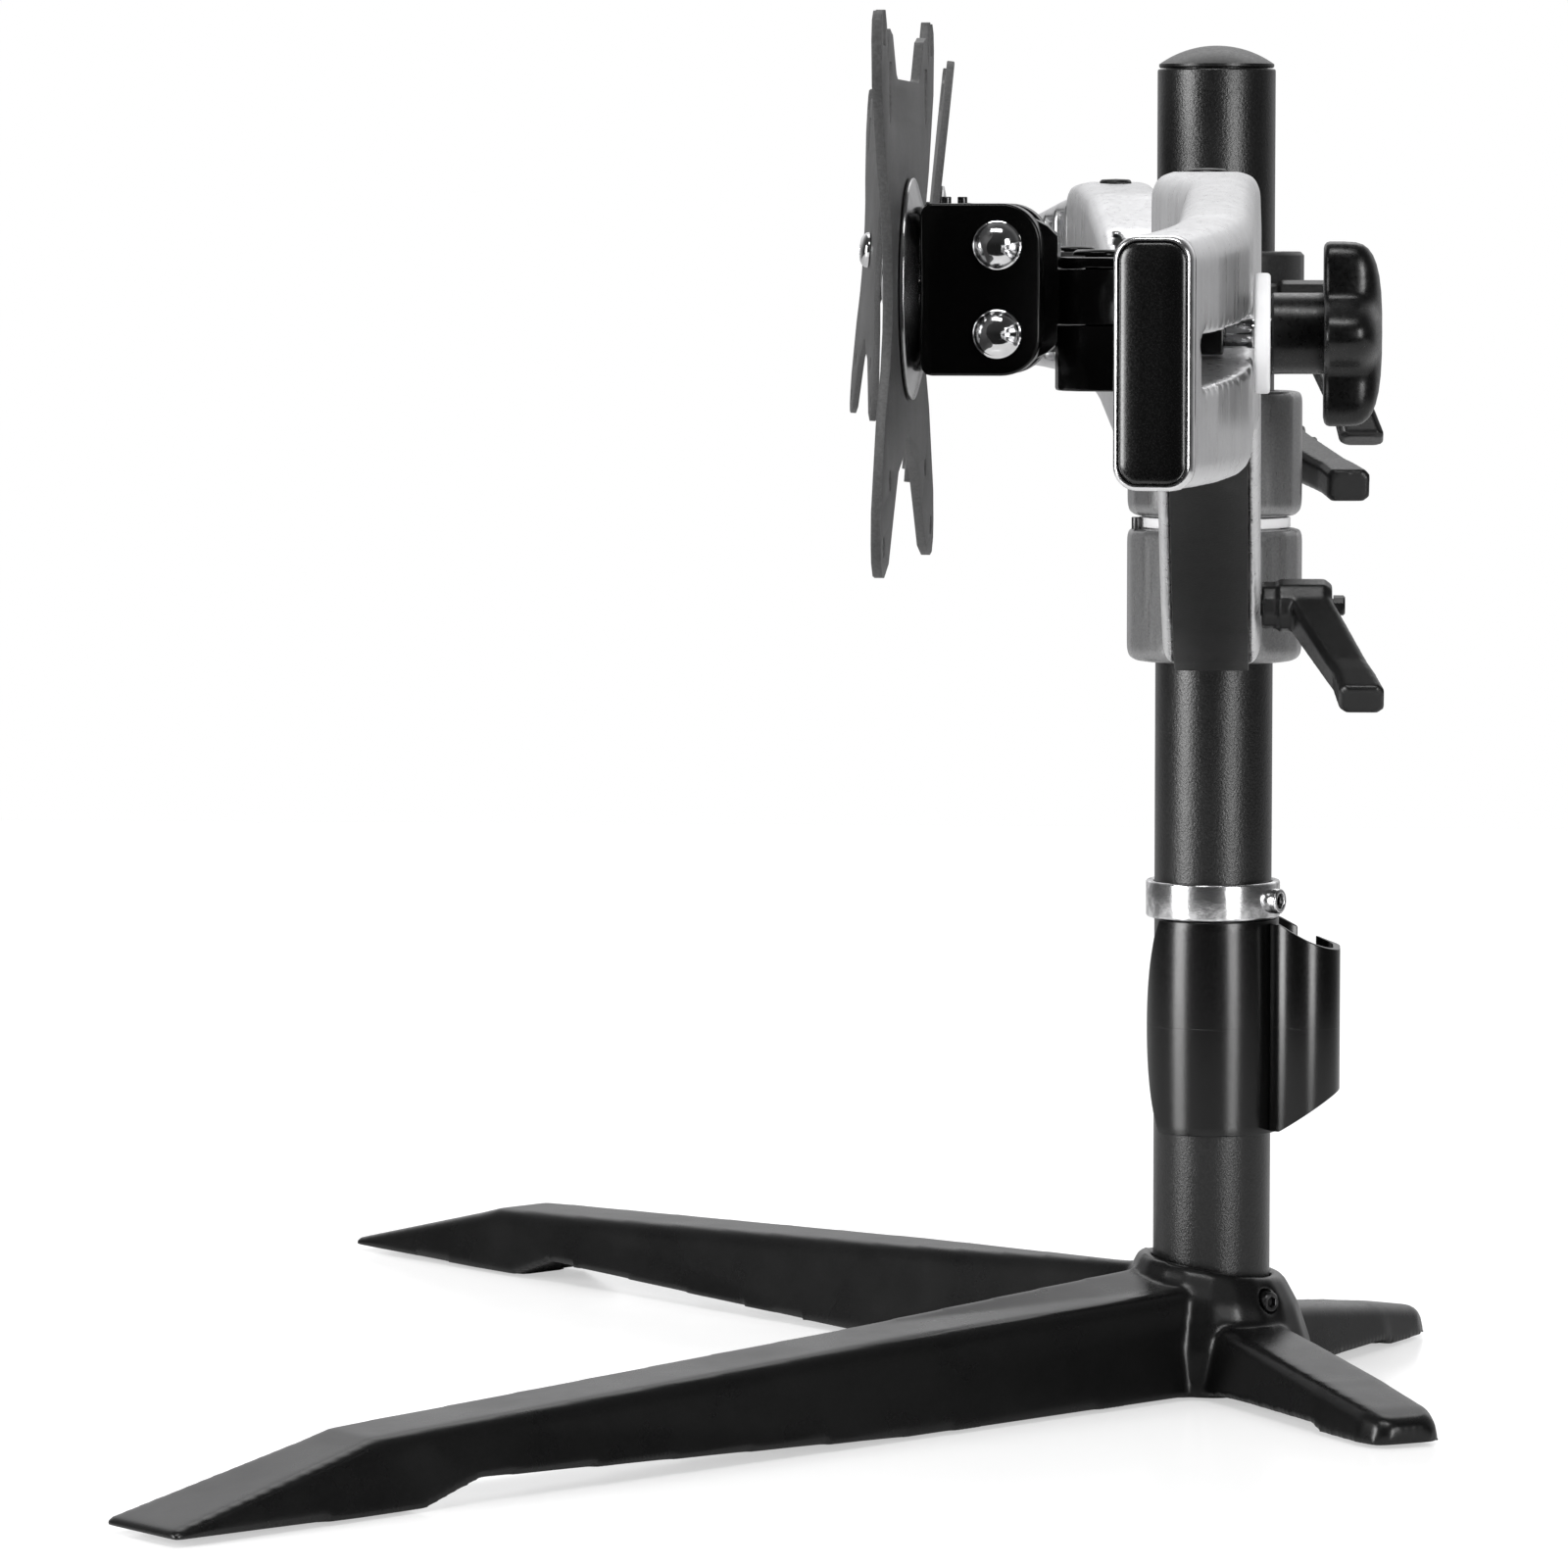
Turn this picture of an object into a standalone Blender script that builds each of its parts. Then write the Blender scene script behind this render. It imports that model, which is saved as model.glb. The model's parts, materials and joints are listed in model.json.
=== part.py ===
"""A free-standing stand for three flat screens, built piece by piece.

Metres, +Z up. The origin is on the floor under the pole's axis, the screens face -Y, and +X is the
stand's right side. Each empty is a joint axis, and the pieces that turn or slide about it hang from it.
"""
import math

import bmesh
import bpy
from mathutils import Matrix, Vector

MM = 0.001
GAP = 0.3 * MM            # clearance between pieces that touch or slide
OVERLAP = 0.5 * MM        # how far a cutter or a joined shape runs past a face
ROUND = 20                # sides of a large round piece
SMALL = 10                # sides of a small round piece
EYE_SIDES = 12            # sides of pan eyes, washers and knob hubs

# Pole and base
POLE_RADIUS = 15.9 * MM
POLE_WALL = 2.0 * MM
POLE_TOP = 358.0 * MM
CAP_DOME = 5.0 * MM
CAP_PLUG = 12.0 * MM
SOCKET_FLOOR = 7.0 * MM
HUB_FOOT_RADIUS = 28.0 * MM
HUB_RADIUS = 20.2 * MM
HUB_TOP = 34.0 * MM       # height of the slanted top at the pole's axis
HUB_SLANT = math.radians(9.5)
FRONT_HEADING = math.radians(-45.5)
FRONT_LENGTH = 359.0 * MM
FRONT_TOE = 65.0 * MM     # from the kink to the front leg's end
FRONT_TOP = 32.0 * MM     # height of the ridge at the hub
FRONT_BANK = 2.0 * MM     # how far the ridge leans down to the rear at the hub
FRONT_HALF_TOP = 11.6 * MM
REAR_HEADING = math.radians(28.0)
REAR_LENGTH = 112.0 * MM
REAR_TOP = 21.5 * MM
LEG_CHAMFER = 2.4 * MM
LEG_LIFT = 1.0 * MM       # height of the underside at the hub
PAD_PROUD = 0.8 * MM
PAD_THICKNESS = 2.0 * MM
PAD_NAMES = ("front_right_pad", "rear_right_pad", "front_left_pad", "rear_left_pad")
BASE_SCREW_Z = 25.4 * MM
BASE_SCREW_HEADING = math.radians(45.0)
BASE_SCREW_RADIUS = 2.8 * MM

# Stop collar and cable clip
CLIP_BOTTOM = 70.5 * MM
CLIP_HEIGHT = 58.0 * MM
CLIP_WALL = 1.7 * MM
CLIP_BULGE = 0.5 * MM     # how far the sleeve swells at half height
CLIP_MOUTH_MIDDLE = 4.5 * MM   # half width of the mouth at half height
CLIP_MOUTH_END = 10.5 * MM     # and at the top and bottom
CUP_DEPTH = 17.0 * MM
CUP_HALF_WIDTH = 15.0 * MM
CUP_WALL = 2.0 * MM
CUP_DROP = 8.2 * MM       # how far the cup's back rim lies below the sleeve's top
CUP_RISE = 14.0 * MM      # and above the sleeve's bottom
STOP_WIDTH = 10.0 * MM
STOP_RADIUS = 18.2 * MM
STOP_SCREW_HEADING = math.radians(62.0)
STOP_SCREW_RADIUS = 1.7 * MM

# Clamp collars: bottom, top and lever for the right arm, the left arm and the middle head
COLLAR_RADIUS = 23.8 * MM
LINER_WALL = 1.6 * MM
RIGHT_COLLAR = (198.4 * MM, 234.4 * MM)
LEFT_COLLAR = (237.7 * MM, 271.5 * MM)
MIDDLE_COLLAR = (276.2 * MM, 309.0 * MM)
FLANGE_RADIUS = 20.5 * MM
COLLAR_ROUNDING = 3.0 * MM
CLAMP_SLOT = 2.5 * MM
CLAMP_SLOT_Y = 6.7 * MM
EAR_END = 64.0 * MM
MIDDLE_EAR_END = 40.0 * MM
LEVER_INSET = 9.0 * MM    # from the ear's end to the lever's screw
LEVER_LENGTH = 38.0 * MM
LEVER_HUB_RADIUS = 7.1 * MM
LEVER_HUB_LENGTH = 18.5 * MM
LEVER_SCREW_RADIUS = 2.9 * MM
LEVER_TURN = {"right": -52.0, "left": -75.0, "middle": -22.0}

# Arms, along X from the pole before they swing
ARM_FRONT = -12.7 * MM
ARM_REAR = 12.6 * MM
ROOT_END = 67.0 * MM
PEAK_X = 270.0 * MM
PEAK_Z = 329.0 * MM
BAR_START = 300.0 * MM
BAR_FULL = 352.0 * MM
BAR_REAR = 11.4 * MM
BAR_THICKNESS = 15.6 * MM
BAR_BOTTOM = 267.0 * MM
BAR_END_TOP = 315.0 * MM
BEND_START = 512.0 * MM
BEND_RADIUS = 337.0 * MM
BEND_ANGLE = math.radians(14.8)
ARM_ROUNDING = 4.6 * MM
SLOT_HEIGHT = 9.6 * MM
SLOT_INNER_X = 345.0 * MM
SLOT_OUTER_X = 590.0 * MM
SLOT_SLOPE = math.radians(2.4)
INSERT_THICKNESS = 2.4 * MM
INSERT_BORDER = 3.0 * MM
INSERT_END = 236.0 * MM
CAP_RIM = 1.5 * MM
CAP_DEPTH = 4.0 * MM
CAP_PROUD = 1.0 * MM
PLUG_RADIUS = 5.0 * MM
ARM_SWING = {"right": 0.0, "left": 7.0}

# Heads
HEAD_X = 495.0 * MM
BOLT_Z = 295.1 * MM       # the arm's slot at the head
HEAD_Z = {"right": 304.0 * MM, "left": 305.6 * MM, "middle": 302.4 * MM}   # tilt axes
CARRIAGE_HALF_WIDTH = 11.0 * MM
CARRIAGE_DEPTH = 5.6 * MM
PAN_OFFSET = 15.1 * MM
MIDDLE_PAN_Y = -38.0 * MM
EYE_RADIUS = 9.0 * MM
EYE_LOW = -7.0 * MM       # from the head's HEAD_Z
EYE_HIGH = 4.0 * MM
BOSS_LOW = -20.5 * MM
FORK_PLATE = 2.2 * MM
PIN_RADIUS = 3.0 * MM
STUD_RADIUS = 3.0 * MM
TILT_OFFSET = 19.7 * MM
TONGUE_RADIUS = 15.8 * MM
TONGUE_FLAT = 9.0 * MM
TONGUE_HALF_THICKNESS = 4.4 * MM
TILT_BOLT_SPREAD = 8.9 * MM
TILT_BOLT_RADIUS = 2.5 * MM
TILT_LIMIT = math.radians(15.0)
CLEVIS_HALF_WIDTH = 13.5 * MM
CLEVIS_HALF_HEIGHT = 17.3 * MM
CLEVIS_FRONT = 15.6 * MM  # from the tilt axis towards the screen
CLEVIS_REAR = 8.7 * MM
CLEVIS_ROUNDING = 8.0 * MM
CLEVIS_WEB = 3.2 * MM
FLANGE_BACK_RADIUS = 15.0 * MM
FLANGE_FRONT_RADIUS = 22.5 * MM
FLANGE_DEPTH = 3.0 * MM
PLATE_THICKNESS = 2.0 * MM
PLATE_TOP = 55.6 * MM
PLATE_BOTTOM = 56.4 * MM
WIDE_PATTERN = 50.0 * MM
NARROW_PATTERN = 37.5 * MM
PLATE_HOLE = 2.3 * MM
CENTRE_SCREW_RADIUS = 3.0 * MM
WASHER_RADIUS = 12.2 * MM
WASHER_THICKNESS = 3.2 * MM
KNOB_HUB_RADIUS = 8.2 * MM
KNOB_HUB_LENGTH = 10.4 * MM
KNOB_RADIUS = 20.8 * MM
KNOB_DEPTH = 11.8 * MM
KNOB_HOLLOW = 5.2 * MM
KNOB_LOBES = 6
PAN = {"right": -2.6, "left": 0.0, "middle": 3.2}
TILT = {"right": 0.0, "left": 3.4, "middle": 5.8}

# Finishes: colour, roughness, metallic
FINISHES = {
    "black_coat": ((0.018, 0.018, 0.019, 1), 0.55, 0.0),
    "black_plastic": ((0.022, 0.022, 0.023, 1), 0.42, 0.0),
    "black_rubber": ((0.015, 0.015, 0.015, 1), 0.8, 0.0),
    "gloss_black": ((0.012, 0.012, 0.012, 1), 0.18, 0.0),
    "brushed_silver": ((0.62, 0.62, 0.63, 1), 0.33, 1.0),
    "grey_paint": ((0.36, 0.36, 0.37, 1), 0.45, 0.6),
    "chrome": ((0.8, 0.8, 0.8, 1), 0.12, 1.0),
    "nylon": ((0.85, 0.85, 0.84, 1), 0.5, 0.0),
    "plate_coat": ((0.05, 0.05, 0.052, 1), 0.5, 0.0),
}

for item in list(bpy.data.objects):
    bpy.data.objects.remove(item, do_unlink=True)

PARTS = bpy.data.collections.new("triple_monitor_stand")
CUTTERS = bpy.data.collections.new("cutters")
bpy.context.scene.collection.children.link(PARTS)
bpy.context.scene.collection.children.link(CUTTERS)


def make_material(name):
    colour, roughness, metallic = FINISHES[name]
    material = bpy.data.materials.new(name)
    material.use_nodes = True
    shader = material.node_tree.nodes["Principled BSDF"]
    shader.inputs["Base Color"].default_value = colour
    shader.inputs["Roughness"].default_value = roughness
    shader.inputs["Metallic"].default_value = metallic
    material.diffuse_color = colour
    return material


MATERIALS = {name: make_material(name) for name in FINISHES}


def axis_empty(name, parent=None, place=(0, 0, 0), turn=(0, 0, 0)):
    """An empty whose origin is a joint's axis."""
    empty = bpy.data.objects.new(name, None)
    PARTS.objects.link(empty)
    empty.parent = parent
    empty.location = place
    empty.rotation_euler = turn
    return empty


def piece(name, mesh, finish, frame=None):
    """A sub-part: one object with its finish, hung from its joint's empty."""
    item = bpy.data.objects.new(name, mesh)
    PARTS.objects.link(item)
    item.parent = frame
    mesh.materials.clear()
    mesh.materials.append(MATERIALS[finish])
    mesh.shade_smooth()
    mesh.set_sharp_from_angle(angle=math.radians(32))
    return item


def tool(name, mesh, frame=None):
    """A hidden shape that cuts or joins a sub-part."""
    item = bpy.data.objects.new(name, mesh)
    CUTTERS.objects.link(item)
    item.parent = frame
    item.hide_render = True
    item.display_type = "WIRE"
    return item


def boolean(target, mesh, operation):
    """Cuts a mesh from a sub-part, or joins it on, in the sub-part's own frame."""
    shape = tool(target.name + "_" + operation.lower(), mesh, target.parent)
    modifier = target.modifiers.new(operation.title(), "BOOLEAN")
    modifier.operation = operation
    modifier.solver = "EXACT"
    modifier.object = shape


def cut(target, *meshes):
    for mesh in meshes:
        boolean(target, mesh, "DIFFERENCE")


def join(target, *meshes):
    for mesh in meshes:
        boolean(target, mesh, "UNION")


def mesh_from(bm, name="shape"):
    bmesh.ops.recalc_face_normals(bm, faces=bm.faces)
    mesh = bpy.data.meshes.new(name)
    bm.to_mesh(mesh)
    bm.free()
    return mesh


def box(low, high):
    """A block between two corners."""
    low, high = Vector(low), Vector(high)
    bm = bmesh.new()
    bmesh.ops.create_cube(bm, size=1.0)
    bmesh.ops.scale(bm, verts=bm.verts, vec=high - low)
    bmesh.ops.translate(bm, verts=bm.verts, vec=(low + high) / 2)
    return mesh_from(bm)


def rod(start, end, radius, sides=SMALL, end_radius=None):
    """A round bar, or a cone, from one point to another."""
    start, end = Vector(start), Vector(end)
    along = end - start
    bm = bmesh.new()
    tip = radius if end_radius is None else end_radius
    bmesh.ops.create_cone(
        bm, cap_ends=True, segments=sides, radius1=radius, radius2=tip, depth=along.length)
    turn = Vector((0, 0, 1)).rotation_difference(along).to_matrix().to_4x4()
    bmesh.ops.transform(bm, matrix=Matrix.Translation((start + end) / 2) @ turn, verts=bm.verts)
    return mesh_from(bm)


def evaluated(item):
    """The finished mesh of a scratch object, which is then removed."""
    bpy.context.view_layer.update()
    graph = bpy.context.evaluated_depsgraph_get()
    mesh = bpy.data.meshes.new_from_object(item.evaluated_get(graph))
    bpy.data.objects.remove(item, do_unlink=True)
    return mesh


def closed(mesh, matrix=None):
    """Welds a mesh, faces it outwards and places it."""
    bm = bmesh.new()
    bm.from_mesh(mesh)
    bmesh.ops.remove_doubles(bm, verts=bm.verts, dist=1e-6)
    if matrix is not None:
        bmesh.ops.transform(bm, matrix=matrix, verts=bm.verts)
    return mesh_from(bm)


def turned(profile, sides=SMALL, matrix=None, ring=False):
    """A turned shape about Z from (radius, height) points. A ring's profile closes on itself."""
    mesh = bpy.data.meshes.new("profile")
    points = [(radius, 0, height) for radius, height in profile]
    edges = [(i, i + 1) for i in range(len(points) - 1)]
    if ring:
        edges.append((len(points) - 1, 0))
    mesh.from_pydata(points, edges, [])
    item = bpy.data.objects.new("profile", mesh)
    CUTTERS.objects.link(item)
    screw = item.modifiers.new("Screw", "SCREW")
    screw.steps = sides
    screw.render_steps = sides
    screw.use_merge_vertices = True
    screw.merge_threshold = 1e-6
    return closed(evaluated(item), matrix)


def flat(outlines, low, high, matrix=None):
    """A flat piece from its outline, and its holes' outlines, in XY, between two heights."""
    curve = bpy.data.curves.new("outline", "CURVE")
    curve.dimensions = "2D"
    curve.fill_mode = "BOTH"
    curve.extrude = (high - low) / 2
    for outline in outlines:
        spline = curve.splines.new("POLY")
        spline.points.add(len(outline) - 1)
        for point, (x, y) in zip(spline.points, outline):
            point.co = (x, y, 0, 1)
        spline.use_cyclic_u = True
    item = bpy.data.objects.new("outline", curve)
    CUTTERS.objects.link(item)
    rise = Matrix.Translation((0, 0, (low + high) / 2))
    return closed(evaluated(item), rise if matrix is None else matrix @ rise)


def loft(rings, side=1):
    """A body through rings of equally many points. Side -1 mirrors it in X."""
    bm = bmesh.new()
    rows = [[bm.verts.new((x * side, y, z)) for x, y, z in ring] for ring in rings]
    count = len(rows[0])
    for one, two in zip(rows, rows[1:]):
        for i in range(count):
            j = (i + 1) % count
            bm.faces.new((one[i], one[j], two[j], two[i]))
    bm.faces.new(rows[0])
    bm.faces.new(rows[-1])
    bmesh.ops.recalc_face_normals(bm, faces=bm.faces)
    bmesh.ops.triangulate(bm, faces=bm.faces)
    return mesh_from(bm)


def arc(centre, radius, start, end, steps):
    """Points on an arc, angles in degrees."""
    points = []
    for i in range(steps + 1):
        angle = math.radians(start + (end - start) * i / steps)
        points.append((centre[0] + radius * math.cos(angle), centre[1] + radius * math.sin(angle)))
    return points


def circle(centre, radius, sides=SMALL):
    return arc(centre, radius, 0, 360, sides)[:-1]


def rounded_box_outline(half_u, low_v, high_v, rounding, steps=3):
    """A rectangle with round corners."""
    r = rounding
    return (
        arc((half_u - r, low_v + r), r, -90, 0, steps)
        + arc((half_u - r, high_v - r), r, 0, 90, steps)
        + arc((-half_u + r, high_v - r), r, 90, 180, steps)
        + arc((-half_u + r, low_v + r), r, 180, 270, steps)
    )


def ease(x, start, end, low, high):
    """Goes smoothly from low at start to high at end."""
    t = min(max((x - start) / (end - start), 0.0), 1.0)
    return low + (high - low) * t * t * (3 - 2 * t)


def to_axis_x():
    """Turns a shape's own Z to +X, and its X to +Y."""
    return Matrix(((0, 0, 1, 0), (1, 0, 0, 0), (0, 1, 0, 0), (0, 0, 0, 1)))


def to_axis_y():
    """Turns a shape's own Z to +Y, and its Y to -Z."""
    return Matrix.Rotation(math.radians(-90), 4, "X")


def face_front():
    """Stands an XY outline up, so that it faces -Y, with its own Z towards -Y."""
    return Matrix.Rotation(math.radians(90), 4, "X")


# Base

def leg_ring(distance, heading, half_low, half_top, low, high, bank=0.0):
    """A leg's section: sides that lean in, with rounded top edges. The bank lowers its outer edge."""
    chamfer = min(LEG_CHAMFER, (high - low) * 0.45)
    lean = (half_low - half_top) * chamfer / (high - low)
    crest = half_top - chamfer
    mid = half_top - 0.3 * chamfer
    section = [
        (-half_low, low), (half_low, low), (half_top + lean, high - chamfer - bank),
        (mid, high - 0.3 * chamfer - bank), (crest, high - bank), (-crest, high + bank),
        (-mid, high - 0.3 * chamfer + bank), (-half_top - lean, high - chamfer + bank),
    ]
    along = Vector((math.cos(heading), math.sin(heading), 0))
    across = Vector((-math.sin(heading), math.cos(heading), 0))
    way = 1 if math.cos(heading) > 0 else -1
    return [along * distance + across * w * way + Vector((0, 0, z)) for w, z in section]


def front_leg(heading):
    """A long leg: a ridge down to the kink, and from there a thin flat toe. Its underside arches."""
    kink = FRONT_LENGTH - FRONT_TOE
    top = FRONT_HALF_TOP
    crown = FRONT_TOP - 12.4 * MM
    stations = [
        (4 * MM, 15.6 * MM, top + 0.6 * MM, LEG_LIFT, FRONT_TOP, FRONT_BANK),
        (125 * MM, 15 * MM, top, LEG_LIFT, crown + 7.2 * MM, 0.3 * MM),
        (kink - 29 * MM, 14.8 * MM, top, LEG_LIFT + 5.4 * MM, crown + 1.1 * MM, 0),
        (kink - 12 * MM, 14.8 * MM, top, PAD_PROUD, crown + 0.4 * MM, 0),
        (kink, 14.8 * MM, top, PAD_PROUD, crown - 0.2 * MM, 0),
        (kink + 8 * MM, 14.9 * MM, top + 0.3 * MM, PAD_PROUD, crown - 2.3 * MM, 0),
        (FRONT_LENGTH - 1.5 * MM, 15.2 * MM, 14.4 * MM, 1.8 * MM, 4.1 * MM, 0),
        (FRONT_LENGTH, 13.8 * MM, 13.2 * MM, 2.0 * MM, 3.5 * MM, 0),
    ]
    return loft([leg_ring(distance, heading, *section) for distance, *section in stations])


def rear_leg(heading):
    """A short leg that slopes down to a blunt toe with round corners."""
    stations = [
        (4 * MM, 15 * MM, 11 * MM, LEG_LIFT, REAR_TOP),
        (44 * MM, 13.8 * MM, 10.6 * MM, LEG_LIFT + 1.5 * MM, REAR_TOP - 4.2 * MM),
        (REAR_LENGTH - 32 * MM, 12.8 * MM, 10.4 * MM, LEG_LIFT + 1.5 * MM, REAR_TOP - 8.6 * MM),
        (REAR_LENGTH - 27 * MM, 12.6 * MM, 10.3 * MM, PAD_PROUD, REAR_TOP - 9.4 * MM),
        (REAR_LENGTH - 8 * MM, 11.6 * MM, 9.8 * MM, PAD_PROUD, REAR_TOP - 12 * MM),
        (REAR_LENGTH - 2.5 * MM, 10 * MM, 8.2 * MM, PAD_PROUD, REAR_TOP - 13.4 * MM),
        (REAR_LENGTH, 7 * MM, 6 * MM, PAD_PROUD + 0.4 * MM, REAR_TOP - 15.5 * MM),
    ]
    return loft([leg_ring(distance, heading, *section) for distance, *section in stations])


def pad_shape(heading, start, end, half_width, grow):
    """A strip under a foot. With grow it is the pocket that the strip sits in."""
    low = -OVERLAP if grow else 0.0
    top = PAD_THICKNESS + grow
    turn = Matrix.Rotation(heading, 4, "Z") @ Matrix.Translation(((start + end) / 2, 0, 0))
    outline = rounded_box_outline((end - start) / 2 + grow, -half_width - grow, half_width + grow, 3 * MM, 2)
    return flat([outline], low, top, turn)


def pads():
    """Heading, ends and half width of each foot's strip."""
    front_start = FRONT_LENGTH - FRONT_TOE - 10 * MM
    front_end = front_start + 28 * MM
    rear_start = REAR_LENGTH - 24 * MM
    rear_end = REAR_LENGTH - 8 * MM
    for mirrored in (False, True):
        front = math.pi - FRONT_HEADING if mirrored else FRONT_HEADING
        rear = math.pi - REAR_HEADING if mirrored else REAR_HEADING
        yield front, front_start, front_end, 9 * MM
        yield rear, rear_start, rear_end, 6 * MM


def radial(heading, inner, outer, height, radius, sides=SMALL):
    """A bar that points straight out from the pole's axis."""
    way = Vector((math.cos(heading), math.sin(heading), 0))
    rise = Vector((0, 0, height))
    return rod(way * inner + rise, way * outer + rise, radius, sides)


def build_base():
    low = LEG_LIFT - 0.4 * MM
    levels = (
        (low, HUB_FOOT_RADIUS, 0.0), (14 * MM, HUB_FOOT_RADIUS - 0.8 * MM, 0.2),
        (HUB_TOP - 8 * MM, HUB_RADIUS + 3.6 * MM, 0.7), (HUB_TOP - 0.8 * MM, HUB_RADIUS, 1.0),
        (HUB_TOP, HUB_RADIUS - 0.8 * MM, 1.0),
    )
    rings = []
    for height, radius, lean in levels:
        slant = math.tan(HUB_SLANT) * lean
        rings.append([(x, y, height - y * slant) for x, y in circle((0, 0), radius, ROUND)])
    base = piece("base_casting", loft(rings), "black_coat")
    for mirrored in (False, True):
        join(base, front_leg(math.pi - FRONT_HEADING if mirrored else FRONT_HEADING))
        join(base, rear_leg(math.pi - REAR_HEADING if mirrored else REAR_HEADING))
    socket = rod((0, 0, SOCKET_FLOOR), (0, 0, HUB_TOP + 20 * MM), POLE_RADIUS + GAP, ROUND)
    hole = radial(BASE_SCREW_HEADING, 0, 40 * MM, BASE_SCREW_Z, BASE_SCREW_RADIUS + GAP)
    cut(base, socket, hole)
    for strip in pads():
        cut(base, pad_shape(*strip, GAP))
    for name, strip in zip(PAD_NAMES, pads()):
        piece(name, pad_shape(*strip, 0.0), "black_rubber")


def gathered(meshes):
    """Several separate solids in one mesh."""
    bm = bmesh.new()
    for mesh in meshes:
        bm.from_mesh(mesh)
    return mesh_from(bm)


def build_pole():
    inner = POLE_RADIUS - POLE_WALL
    low = SOCKET_FLOOR + GAP
    tube = [
        (inner, POLE_TOP), (POLE_RADIUS - 0.5 * MM, POLE_TOP), (POLE_RADIUS, POLE_TOP - 0.5 * MM),
        (POLE_RADIUS, low), (inner, low),
    ]
    piece("pole_tube", turned(tube, ROUND, ring=True), "black_coat")
    rim = POLE_RADIUS - 0.4 * MM
    base = POLE_TOP + GAP
    dome_radius = (rim ** 2 + CAP_DOME ** 2) / (2 * CAP_DOME)
    profile = [(0, POLE_TOP - CAP_PLUG), (inner - GAP, POLE_TOP - CAP_PLUG), (inner - GAP, base), (rim, base)]
    crest = base + 1.0 * MM + CAP_DOME - dome_radius
    widest = math.asin(rim / dome_radius)
    for i in range(4):
        angle = widest * (1 - i / 4)
        profile.append((dome_radius * math.sin(angle), crest + dome_radius * math.cos(angle)))
    profile.append((0, crest + dome_radius))
    piece("pole_cap", turned(profile, ROUND), "black_plastic")


def build_stop_collar():
    low = CLIP_BOTTOM + CLIP_HEIGHT + GAP
    high = low + STOP_WIDTH
    edge = 0.8 * MM
    inner = POLE_RADIUS + GAP
    ring = [
        (inner, high), (STOP_RADIUS - edge, high), (STOP_RADIUS, high - edge), (STOP_RADIUS, low + edge),
        (STOP_RADIUS - edge, low), (inner, low),
    ]
    middle = (low + high) / 2
    collar = piece("stop_collar", turned(ring, ROUND, ring=True), "chrome")
    join(collar, radial(STOP_SCREW_HEADING, inner + MM, STOP_RADIUS + 2.8 * MM, middle, 3.4 * MM))
    cut(collar, radial(STOP_SCREW_HEADING, inner - 4 * MM, STOP_RADIUS + 6 * MM, middle, STOP_SCREW_RADIUS + GAP))


def cup_outline(half, front, back, rounding):
    """The cup in plan: open towards the pole, with a round back."""
    return (
        [(half, front)] + arc((half - rounding, back - rounding), rounding, 0, 90, 4)
        + arc((-half + rounding, back - rounding), rounding, 90, 180, 4) + [(-half, front)]
    )


def build_cable_clip():
    """A split sleeve round the pole with a cup behind it that cables run down through."""
    low, high = CLIP_BOTTOM, CLIP_BOTTOM + CLIP_HEIGHT
    middle = (low + high) / 2
    inner = POLE_RADIUS + GAP
    outer = inner + CLIP_WALL
    sleeve = [
        (0, low), (outer, low), (outer + 0.7 * CLIP_BULGE, low + CLIP_HEIGHT / 4), (outer + CLIP_BULGE, middle),
        (outer + 0.7 * CLIP_BULGE, high - CLIP_HEIGHT / 4), (outer, high), (0, high),
    ]
    clip = piece("cable_clip", turned(sleeve, ROUND), "black_plastic")
    back = outer + CUP_DEPTH
    rounding = 9 * MM
    join(clip, flat([cup_outline(CUP_HALF_WIDTH, outer - 9 * MM, back, rounding)], low + MM, high - MM))
    hollow = cup_outline(CUP_HALF_WIDTH - CUP_WALL, outer + 1.2 * MM, back - CUP_WALL, rounding - CUP_WALL)
    cut(clip, flat([hollow], low - 5 * MM, high + 5 * MM))
    count = 5
    top_edge = []
    for i in range(count + 1):
        share = i / count
        top_edge.append((outer - MM + (CUP_DEPTH + 4 * MM) * share, high - CUP_DROP * math.sin(share * math.pi / 2)))
    above = top_edge + [(back + 10 * MM, high + 20 * MM), (outer - MM, high + 20 * MM)]
    rim = back + 4 * MM
    below = [(outer - MM, low), (rim, low + CUP_RISE), (rim, low - 20 * MM), (outer - MM, low - 20 * MM)]
    for outline in (above, below):
        cut(clip, flat([outline], -40 * MM, 40 * MM, to_axis_x()))
    cut(clip, rod((0, 0, low - 5 * MM), (0, 0, high + 5 * MM), inner, ROUND))
    steps = 6
    mouth = []
    for i in range(steps + 1):
        share = 2 * i / steps - 1
        half = CLIP_MOUTH_MIDDLE + (CLIP_MOUTH_END - CLIP_MOUTH_MIDDLE) * share ** 2
        mouth.append((half, middle + share * (CLIP_HEIGHT / 2 + MM)))
    mouth += [(-x, z) for x, z in reversed(mouth)]
    cut(clip, flat([mouth], 5 * MM, 40 * MM, face_front()))
    slit = box((-CUP_HALF_WIDTH - 5 * MM, outer + 5 * MM, low - 5 * MM),
               (-CUP_HALF_WIDTH + 5 * MM, outer + 11 * MM, high + 5 * MM))
    cut(clip, slit)


# Clamp collars, their liners and levers

def collar_mesh(low, high):
    r = COLLAR_ROUNDING
    profile = [(0, low), (COLLAR_RADIUS - r, low)]
    profile += [(COLLAR_RADIUS - r + x, low + r + y) for x, y in arc((0, 0), r, -67, 0, 3)]
    profile += [(COLLAR_RADIUS, high - MM), (COLLAR_RADIUS - MM, high), (0, high)]
    return turned(profile, ROUND)


def collar_bore():
    return POLE_RADIUS + GAP + LINER_WALL + GAP


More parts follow.
